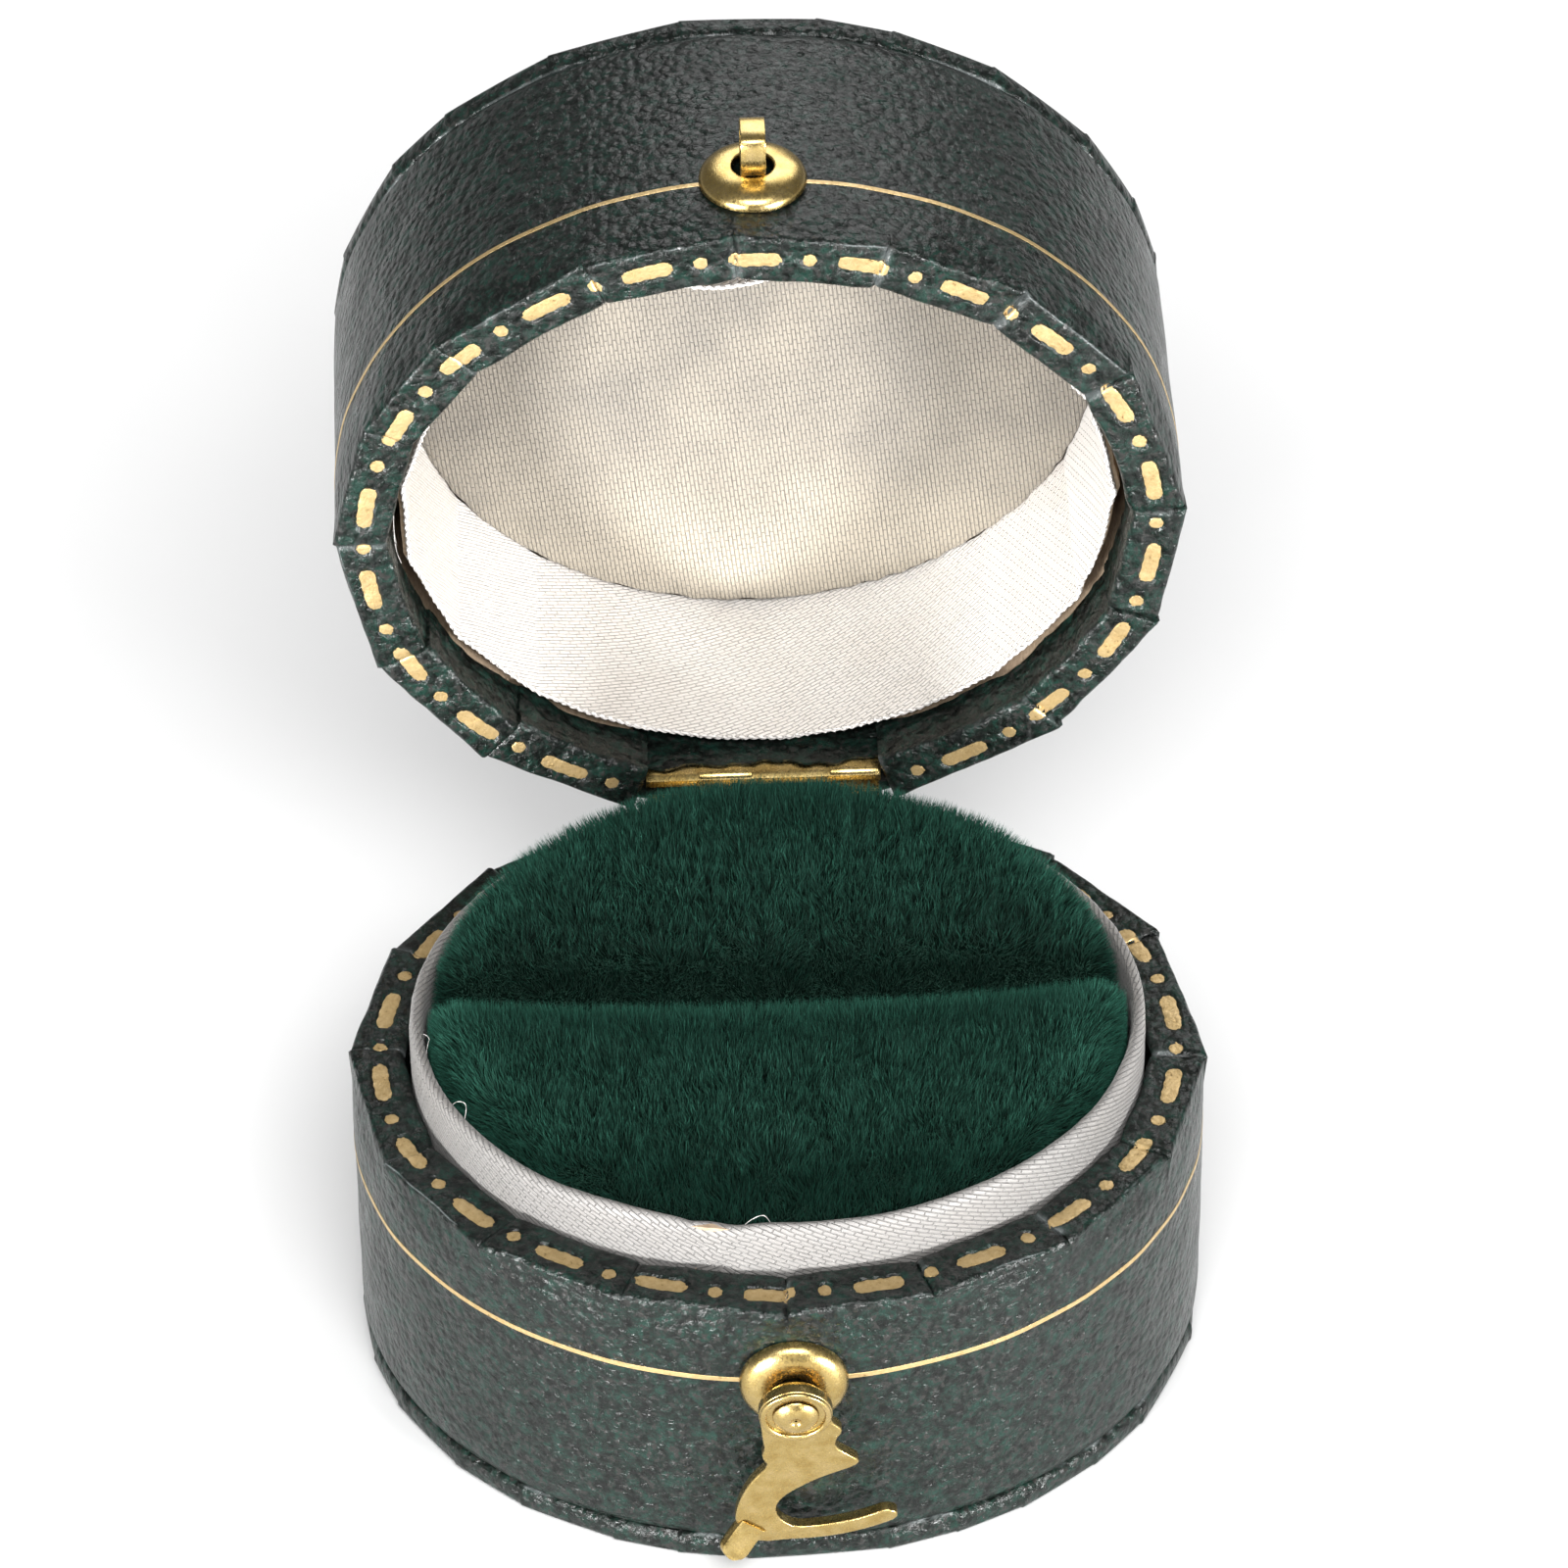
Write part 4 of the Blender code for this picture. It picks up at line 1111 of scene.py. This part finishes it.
def pad_rise(side, x, y):
    """How far a pad half's pile stands over the base's rim. side is -1 for the front half."""
    away = np.minimum(abs(y) / PAD_HALF_DEPTH, 1)
    across = (x / PAD_HALF_WIDTH) ** 2
    if side < 0:
        return FRONT_CREST + (FRONT_EDGE - FRONT_CREST) * away**1.5 - FRONT_SIDE_FALL * across
    swell = np.sin(np.minimum(away / 0.75, 1) * math.pi / 2)
    valley = REAR_SLIT_EDGE + SLIT_END_RISE * across
    return valley + (REAR_CROWN - valley) * swell - REAR_SIDE_FALL * across


def slit_line(x):
    """Where the two halves of the pad meet: a line bowed towards the front."""
    return SLIT_BACK - SLIT_BOW * (1 - (x / PAD_HALF_WIDTH) ** 2)


def pad_form(side):
    """Half of the pad as a closed form with rounded edges, its slit face on the slit's line."""
    shrink, edge, lip = 0.25 * MM, 1.9 * MM, (1.0 if side < 0 else 2.2) * MM
    half_width, half_depth = PAD_HALF_WIDTH - shrink, PAD_HALF_DEPTH - shrink
    x = half_width * np.sin(np.linspace(-1, 1, 61) * math.pi / 2)
    bound = half_depth * np.sqrt(np.maximum(1 - (x / half_width) ** 2, 0))
    slit = np.clip(slit_line(x) + side * 0.55 * MM, -bound, bound)
    span = side * bound - slit
    rows = []
    for t in (1 - np.cos(np.linspace(0, math.pi, 41))) / 2:
        y = slit + span * t
        outer = (1 - np.hypot(x / half_width, y / half_depth)) * OVAL_MEAN
        into_edge = np.clip(1 - outer / edge, 0, 1)
        into_slit = np.clip(1 - abs(span) * t / lip, 0, 1)
        drop = 0.85 * edge * (1 - np.sqrt(1 - into_edge**2))
        drop += lip * (1 - np.sqrt(1 - into_slit**2))
        z = BASE_RIM + pad_rise(side, x, y) - 0.7 * PILE_LENGTH - np.minimum(drop, edge)
        rows.append(np.stack([x, y, z], -1))
    floor = PAD_FOOT + 6 * MM
    for t in (1.0, 0.66, 0.33, 0.0):
        rows.append(np.stack([x, slit + span * t, floor + 0 * x], -1))
    grid = np.stack(rows)
    return face_outwards(loft("pad", grid, True, False))


def scattered(mesh, count, random):
    """Seeded points over a mesh's upper faces, with their normals."""
    mesh.calc_loop_triangles()
    corners = read(mesh.loop_triangles, "vertices", kind=np.int32)
    places = read(mesh.vertices, "co").astype(float)
    normals = read(mesh.vertices, "normal").astype(float)
    a, b, c = (places[corners[:, k]] for k in range(3))
    cross = np.cross(b - a, c - a)
    area = np.linalg.norm(cross, axis=1) / 2
    high = places[corners].mean(1)[:, 2] > BASE_RIM - 2.2 * MM
    weight = area * high
    chosen = random.choice(len(corners), count, p=weight / weight.sum())
    first, second = random.uniform(size=(2, count))
    root = np.sqrt(first)
    shares = np.stack([1 - root, root * (1 - second), root * second], -1)[..., None]
    place = (places[corners[chosen]] * shares).sum(1)
    normal = (normals[corners[chosen]] * shares).sum(1)
    return place, unit(normal)


def pile(name, form, side, seed):
    """Short tapered hairs standing on the backing, leaning a little and combed back."""
    random = np.random.default_rng(seed)
    count = 95000
    root, normal = scattered(form, count, random)
    comb = np.array([0.0, 0.22, 0.0]) + 0 * root
    comb[:, 0] = 0.12 * root[:, 0] / PAD_HALF_WIDTH
    drift = np.stack([waves(root, 4 * MM, seed + k) for k in range(3)], -1) * 0.15
    tufts = np.stack([waves(root, 1.3 * MM, seed + 5 + k) for k in range(3)], -1) * 0.12
    lean = normal + comb + drift + tufts + random.normal(scale=0.18, size=root.shape)
    lean = unit(lean)
    length = PILE_LENGTH * random.uniform(0.7, 1.1, (count, 1))
    across = unit(np.cross(lean, random.normal(size=root.shape)))
    width = random.uniform(0.026, 0.046, (count, 1)) * MM * 1
    tip = root + lean * length
    outside = np.hypot(
        tip[:, 0] / (HALF_WIDTH - PILE_INSET), tip[:, 1] / (HALF_DEPTH - PILE_INSET)
    )
    tip[:, :2] /= np.maximum(outside, 1)[:, None]
    points = np.stack([root - across * width, root + across * width, tip], 1)
    mesh = mesh_from(name, points, np.arange(count * 3).reshape(-1, 3))
    paint(mesh, "rise", np.tile([0.0, 0.0, 1.0], count))
    # Each hair's tip shade: a random tint, plus painted light on the front half's crest by the slit
    # and round the outer edge, and painted shade on the rear half by the slit.
    tint_and_painted_light = random.beta(1.6, 3.5, count) + 0.3 * (random.uniform(size=count) > 0.98)
    from_slit = abs(root[:, 1] - slit_line(root[:, 0]))
    if side < 0:
        tint_and_painted_light += 0.50 * np.exp(-((from_slit / (2.0 * MM)) ** 2))
    else:
        tint_and_painted_light -= 0.30 * np.exp(-((from_slit / (6.0 * MM)) ** 2))
    edge = np.hypot(root[:, 0] / PAD_HALF_WIDTH, root[:, 1] / PAD_HALF_DEPTH)
    tint_and_painted_light = np.clip(tint_and_painted_light + 0.30 * smooth(0.75, 0.97, edge), 0, 1)
    paint(mesh, "shade", np.repeat(tint_and_painted_light, 3))
    return show(mesh, name, "base", PLUSH_LOOK, sharp=180)


def ring_pad():
    """Both halves of the pad, each a swollen form and the pile that stands on it."""
    for side, place in ((-1, "front"), (1, "rear")):
        form = subdivided(inflated(pad_form(side), PAD_SWELL))
        pad = show(
            form,
            f"pad_plush_{place}",
            "base",
            BACKING_LOOK,
            [f"pad_velvet_{place}", f"pad_foam_{place}"],
            sharp=80,
        )
        pile(f"pad_pile_{place}", form, side, 60 + side)


# Brass fittings, drawn on frames whose Z points out of the wall


def wall_frame(centre, out):
    """A frame at centre with Z along out, X to the right and Y up the wall."""
    out = Vector(out).normalized()
    right = Vector((1, 0, 0))
    up = out.cross(right)
    basis = Matrix((right, up, out)).transposed().to_4x4()
    return Matrix.Translation(centre) @ basis


def turned(profile, steps=72, dent=0.0, seed=0):
    """A closed (radius, height) profile turned about Z."""
    turn = full_turn(steps)
    rows = []
    for radius, height in profile:
        ring = np.stack([np.cos(turn) * radius, np.sin(turn) * radius, height + 0 * turn], -1)
        rows.append(ring)
    points = np.stack(rows)
    if dent:
        points[..., 2] += dent * waves(points, 2.5 * MM, seed)
    return face_outwards(loft("turned", points, True, True))


def rounded(profile, rounds=2):
    """A closed profile with its corners cut by repeated averaging, as a tumbled edge."""
    points = np.array(profile, float)
    for _ in range(rounds):
        after = np.roll(points, -1, axis=0)
        points = np.stack([points * 0.75 + after * 0.25, points * 0.25 + after * 0.75], 1)
        points = points.reshape(-1, 2)
    return points


def fitting(mesh, body, node):
    """Shows a brass piece in place of the CAD node of its name."""
    show(mesh, node + "_brass", body, BRASS_LOOK, [node])


def rosette_mesh():
    """A domed washer, rolled under at its foot, with a hole through its crown."""
    radius, height, hole, sheet = 3.45 * MM, 1.25 * MM, 1.4 * MM, 0.35 * MM
    foot = -0.02 * MM
    spread = radius - hole
    turns = np.linspace(0, math.pi / 2, 14)
    outer, inner = (
        [
            (hole + wide * math.sin(a), foot + (high - foot) * math.cos(a) ** 0.8)
            for a in turns[:-1]
        ]
        for wide, high in ((spread, height), (spread - sheet, height - sheet))
    )
    outer += [(radius, foot), (radius - sheet, foot)]
    inner = inner[::-1]
    throat = [(hole - 0.08 * MM, height - 0.20 * MM)]
    return turned(rounded(outer + inner + throat, 1), 96, 0.012 * MM, 71)


def rivet_mesh():
    """The tubular rivet: a flared head with a dished, burred middle, and its shank."""
    top = RIVET_FRONT + 0.45 * MM
    head = [(0.01, -0.14), (0.22, -0.12), (0.38, 0.02), (0.62, 0.06), (0.95, -0.02), (1.22, -0.16)]
    profile = [(radius * MM, top + rise * MM) for radius, rise in head + [(1.42, -0.34)]]
    profile += [(1.46 * MM, RIVET_FRONT + 0.04 * MM)]
    profile += [(1.20 * MM, RIVET_FRONT), (0.8 * MM, RIVET_FRONT)]
    profile += [(0.8 * MM, -3.8 * MM), (0.01 * MM, -3.8 * MM)]
    return turned(rounded(profile, 2), 64, 0.012 * MM, 72)


def arc(radius, start, end, count):
    """Points round the rivet, with angles in degrees from straight down towards +X."""
    steps = np.radians(np.linspace(start, end, count))
    return [(radius * math.sin(a), -radius * math.cos(a)) for a in steps]


def hook_outline():
    """The hook's outline round the rivet: eye, shoulder, upper prong, mouth, finger and back."""
    eye = arc(2.35, 290, 70, 13)
    shoulder = [(2.75, -1.35), (2.95, -1.8), (2.55, -2.5), (2.45, -3.3)]
    prong = [(3.2, -4.0), (4.05, -4.75), (3.75, -5.25), (2.6, -5.8), (1.4, -6.4), (0.4, -7.1)]
    mouth = [(-0.6, -7.9), (-1.2, -8.8), (-1.3, -9.7), (-0.9, -10.6)]
    finger = arc(11.3, 0, 30, 6) + arc(11.9, 32.5, 32.5, 1) + arc(12.5, 31, -2, 7)
    back = [(-2.3, -12.7), (-3.2, -12.0), (-3.9, -10.6), (-3.8, -9.3), (-3.4, -7.8)]
    waist = [(-2.7, -6.3), (-1.7, -5.0), (-2.2, -4.1), (-1.95, -3.3), (-2.1, -2.4)]
    points = eye + shoulder + prong + mouth + finger + back + waist
    return np.array(points) * MM


def bevelled_plate(outlines, thickness, edge):
    """A flat plate from closed outlines, the first its outside and the others holes."""
    curve = bpy.data.curves.new("plate", "CURVE")
    curve.dimensions = "2D"
    curve.fill_mode = "BOTH"
    curve.extrude = thickness / 2 - edge
    curve.bevel_depth = edge
    curve.bevel_resolution = 3
    curve.offset = -edge
    for outline in outlines:
        spline = curve.splines.new("POLY")
        spline.points.add(len(outline) - 1)
        for point, (x, y) in zip(spline.points, outline):
            point.co = (x, y, 0, 1)
        spline.use_cyclic_u = True
    mesh = evaluated(bpy.data.objects.new("plate", curve))
    bpy.data.curves.remove(curve)
    return face_outwards(mesh)


def strip(path, low, high, sheet, edge, taper=None):
    """Sheet metal bent along a (first, second) path and running from low to high across it.

    taper narrows it at each point of the path.
    """
    path = np.array(path, float)
    ahead = unit(np.gradient(path, axis=0))
    side = np.stack([-ahead[:, 1], ahead[:, 0]], -1)
    flat = sheet / 2 - edge
    section = [(low, -flat), (low, flat)]
    for t in (math.pi / 4, math.pi / 2):
        section.append((low + edge * (1 - math.cos(t)), sheet / 2 - edge * (1 - math.sin(t))))
    mirrored = [(high + low - across, out) for across, out in section[::-1]]
    ring = section + mirrored
    under = [(across, -out) for across, out in ring[::-1] if out > flat + 1e-9]
    ring = ring + under
    rows = []
    for across, out in ring:
        points = path + side * out
        width = 1 if taper is None else taper
        rows.append(np.stack([across * width + 0 * points[:, 0], points[:, 0], points[:, 1]], -1))
    grid = np.stack(rows)
    start, end = (
        grid[:, place : place + 1].mean(0, keepdims=True).repeat(len(ring), 0)
        for place in (0, grid.shape[1] - 1)
    )
    grid = np.concatenate([start, grid, end], axis=1)
    return face_outwards(loft("strip", grid, True, False))


def resampled(path, step):
    """Points step apart along a path."""
    path = np.array(path, float)
    lengths = length_along(path)
    count = max(int(lengths[-1] / step), 2)
    even = np.linspace(0, lengths[-1], count + 1)
    return np.stack([np.interp(even, lengths, path[:, k]) for k in range(2)], -1)


def softened(path, rounds=3):
    """An open path with its corners cut, its ends kept."""
    points = np.array(path, float)
    for _ in range(rounds):
        first, second = points[:-1], points[1:]
        cut = np.stack([first * 0.75 + second * 0.25, first * 0.25 + second * 0.75], 1)
        cut = cut.reshape(-1, points.shape[1])
        points = np.concatenate([points[:1], cut[1:-1], points[-1:]])
    return points


def latch():
    """The base's rosette and rivet, and the hook that swings on it."""
    wall = wall_frame((0, -HALF_DEPTH, LATCH.z), (0, -1, 0))
    tilted = wall_frame(LATCH, RIVET_AXIS)
    rosette = rosette_mesh()
    rosette.transform(wall)
    fitting(rosette, "base", "latch_rosette")
    rivet = rivet_mesh()
    rivet.transform(tilted)
    fitting(rivet, "base", "latch_rivet")
    outline = rounded(hook_outline(), 1)
    hole = np.array(arc(HOOK_EYE, 0, 350, 36))
    plate = bevelled_plate([outline, hole], HOOK_SHEET, 0.13 * MM)
    plate.transform(Matrix.Translation((0, 0, HOOK_OUT)))
    boss_profile = [(0.88, 1.5), (1.95, 1.5), (1.95, 2.3), (0.88, 2.3)]
    collar_profile = [(1.80, 2.7), (2.28, 2.7), (2.24, 3.12), (1.86, 3.12)]
    boss, collar = (
        turned(rounded(np.array(profile) * MM), 48) for profile in (boss_profile, collar_profile)
    )
    tab_path = [(0.0, 0.10), (0.7, 0.30), (1.4, 0.55), (2.6, 1.10)]
    half = 1.02 * MM
    tab = resampled(softened(np.array(tab_path) * MM), 0.08 * MM)
    run = np.linspace(0, 2.8 * MM, len(tab))
    taper = np.sqrt(np.maximum(1 - np.clip((run - 2.1 * MM) / (0.72 * MM), 0, 1) ** 2, 0.02))
    ridge = strip(tab, -half, half, 0.95 * MM, 0.36 * MM, taper)
    bend = Matrix.Rotation(math.radians(-38), 4, "Z") @ Matrix.Scale(-1, 4, (0, 1, 0))
    ridge.transform(Matrix.Translation((-2.75 * MM, -11.0 * MM, HOOK_OUT)) @ bend)
    hook = joined([plate, boss, collar, face_outwards(ridge)])
    hook.transform(tilted)
    show(hook, "hook_brass", "hook", BRASS_LOOK, ["latch_hook"])


def catch():
    """The lid's rosette, and the strip staple that the hook's finger enters."""
    wall = wall_frame((0, -HALF_DEPTH, CATCH_Z), (0, -1, 0))
    rosette = rosette_mesh()
    rosette.transform(wall)
    path = [(0.85, -3.4), (0.85, 1.4), (0.78, 2.0), (0.78, 4.1), (0.35, 4.52), (-1.45, 4.52)]
    path += [(-1.9, 4.1), (-1.9, 2.3), (-0.85, 1.3), (-0.85, -3.4)]
    bent = resampled(softened(np.array(path) * MM, 2), 0.12 * MM)
    staple = strip(bent, -0.8 * MM, 0.8 * MM, 0.35 * MM, 0.08 * MM)
    staple.transform(wall)
    for mesh, node in ((rosette, "catch_rosette"), (staple, "catch_staple")):
        fitting(face_outwards(transformed(mesh, laid_open)), "lid", node)


def hinge():
    """Two leaves of thin sheet, each rolled round the pin in its own knuckles."""
    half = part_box("hinge_pin")[1].x + 0.1 * MM
    barrel, sheet, back = 1.1 * MM, 0.3 * MM, 20.98 * MM
    roll, shelf = barrel - sheet / 2, barrel - 0.05 * MM
    knuckles = [-half, -4.4 * MM, -0.6 * MM, 4.3 * MM, half]
    for body, turn, own in (("base", -1, (0, 2)), ("lid", 1, (1, 3))):
        plate = [(back, turn * 6.5 * MM), (back, turn * shelf), (back + 0.75 * MM, turn * shelf)]
        parts = [strip(resampled(softened(plate, 2), 0.2 * MM), -half, half, sheet, 0.08 * MM)]
        turns = np.radians(np.linspace(90, -205, 30))
        curl = [(HINGE.y + roll * math.cos(a), turn * roll * math.sin(a)) for a in turns]
        web = [(back, turn * 2.0 * MM), (back, turn * shelf), (HINGE.y - 0.5 * MM, turn * shelf)]
        for index in own:
            path = resampled(softened(web + curl, 2), 0.12 * MM)
            low, high = knuckles[index] + 0.11 * MM, knuckles[index + 1] - 0.11 * MM
            parts.append(strip(path, low, high, sheet, 0.10 * MM))
        leaf = joined(parts)
        leaf.transform(Matrix.Translation((0, 0, HINGE.z)))
        if body == "lid":
            transformed(leaf, laid_open)
        fitting(leaf, body, "hinge_leaf_" + body)
    profile = [(0.01 * MM, -half), (0.70 * MM, -half), (0.70 * MM, half), (0.01 * MM, half)]
    pin = turned(rounded(profile, 2), 32)
    pin.transform(Matrix.Translation(HINGE) @ Matrix.Rotation(math.pi / 2, 4, "Y"))
    fitting(pin, "base", "hinge_pin")


def hinge_tab():
    """The leatherette tab glued over the lid's leaf, its cut edge wavy and its face a little
    rippled.
    """
    x = np.linspace(-8.5, 8.5, 69) * MM
    place = np.stack([x, 0 * x], -1)
    edge = 1.8 * MM + 0.30 * MM * waves(place, 6 * MM, 81) + 0.12 * MM * waves(place, 2 * MM, 82)
    rows = []
    for t in np.linspace(0, 1, 16):
        drop = edge + (7.0 * MM - edge) * t
        ripple = 0.03 * MM * abs(waves(np.stack([x, drop], -1), 2.6 * MM, 83))
        rows.append(np.stack([x, TAB_FACE - ripple, LID_RIM + drop], -1))
    under = [row + np.array([0, 0.16 * MM, 0]) for row in rows[::-1]]
    mesh = face_outwards(loft("tab", laid_open(np.stack(rows + under)), True, False))
    show(mesh, "lid_hinge_tab", "lid", LEATHER_LOOK, sharp=50)


# Stage, light and camera


def lamp(name, place, target, size, power):
    """A rectangular lamp that shines from place towards target."""
    area = bpy.data.lights.new(name, "AREA")
    area.shape = "RECTANGLE"
    area.size, area.size_y = size
    area.energy = power
    holder = bpy.data.objects.new(name, area)
    holder.location = place
    aim = Vector(target) - Vector(place)
    holder.rotation_euler = aim.to_track_quat("-Z", "Y").to_euler()
    linked(holder)


def studio():
    """A pale floor, a white surround and four soft lamps."""
    floor_mesh = mesh_from(
        "floor", [(-2, -2, 0), (2, -2, 0), (2, 2, 0), (-2, 2, 0)], [(0, 1, 2, 3)]
    )
    look = Look("floor", Roughness=0.6)
    patches = look.noise(look.millimetres(), 0.02, 2.0)
    shade = look.ramp(patches, (0.3, (0.69, 0.69, 0.69)), (0.7, (0.72, 0.72, 0.72)))
    floor_mesh.materials.append(look.feed(Base_Color=shade))
    floor = linked(bpy.data.objects.new("floor", floor_mesh))
    world = bpy.data.worlds.new("studio")
    world.use_nodes = True
    world.node_tree.nodes["Background"].inputs["Color"].default_value = (1, 1, 1, 1)
    world.node_tree.nodes["Background"].inputs["Strength"].default_value = 0.22
    bpy.context.scene.world = world
    bpy.context.scene.view_settings.view_transform = "Standard"
    middle, foot = (0, 0.01, 0.03), (0, 0, 0.02)
    lamp("main", (0.03, -0.46, 0.56), middle, (0.40, 0.26), 6.8)
    lamp("left", (-0.36, -0.48, 0.055), foot, (0.14, 0.09), 7.5)
    lamp("right", (0.44, -0.46, 0.06), foot, (0.14, 0.09), 7.5)
    lamp("back", (0.10, 0.60, 0.50), middle, (0.60, 0.40), 3.0)


def add_camera():
    """A long lens from in front and above."""
    elevation, azimuth, roll = (math.radians(a) for a in CAMERA_ANGLES)
    target = Vector(CAMERA_TARGET) * MM
    right = Vector((math.cos(azimuth), math.sin(azimuth), 0))
    level = Vector((math.sin(azimuth), -math.cos(azimuth), 0))
    back = level * math.cos(elevation) + Vector((0, 0, math.sin(elevation)))
    up = back.cross(right)
    tilted_right = math.cos(roll) * right + math.sin(roll) * up
    tilted_up = math.cos(roll) * up - math.sin(roll) * right
    data = bpy.data.cameras.new("camera")
    data.sensor_width = 36
    data.lens = CAMERA_LENS
    data.clip_start = 0.01
    camera = bpy.data.objects.new("camera", data)
    basis = Matrix((tilted_right, tilted_up, back)).transposed().to_4x4()
    camera.matrix_world = Matrix.Translation(target + back * CAMERA_DISTANCE) @ basis
    bpy.context.scene.camera = linked(camera)


def dress_hidden_nodes():
    """The boards and foam inside keep their CAD shapes and get their own materials."""
    special = {"latch_burr": BRASS_LOOK, "lid_wadding": FOAM_LOOK}
    special |= {"pad_foam_front": FOAM_LOOK, "pad_foam_rear": FOAM_LOOK}
    for name, node in NODES.items():
        for slot in node.material_slots:
            slot.material = special.get(name, BOARD_LOOK)


add_camera()
studio()
dress_hidden_nodes()
BASE_WALL = Wall("base", BASE_RIM, BASE_FOOT, BASE_SEAMS, 266.9, 100)
LID_WALL = Wall("lid", LID_RIM, LID_HEAD, LID_SEAMS, 269.8, 200)
wrapped_shell(BASE_WALL, "base", 0.0, BASE_FOOT - 0.15 * MM)
wrapped_shell(LID_WALL, "lid", LID_TOP, LID_HEAD + 0.15 * MM)
neck_ribbon()
lid_hoop()
satin_disc()
ring_pad()
latch()
catch()
hinge()
hinge_tab()
loose_threads()
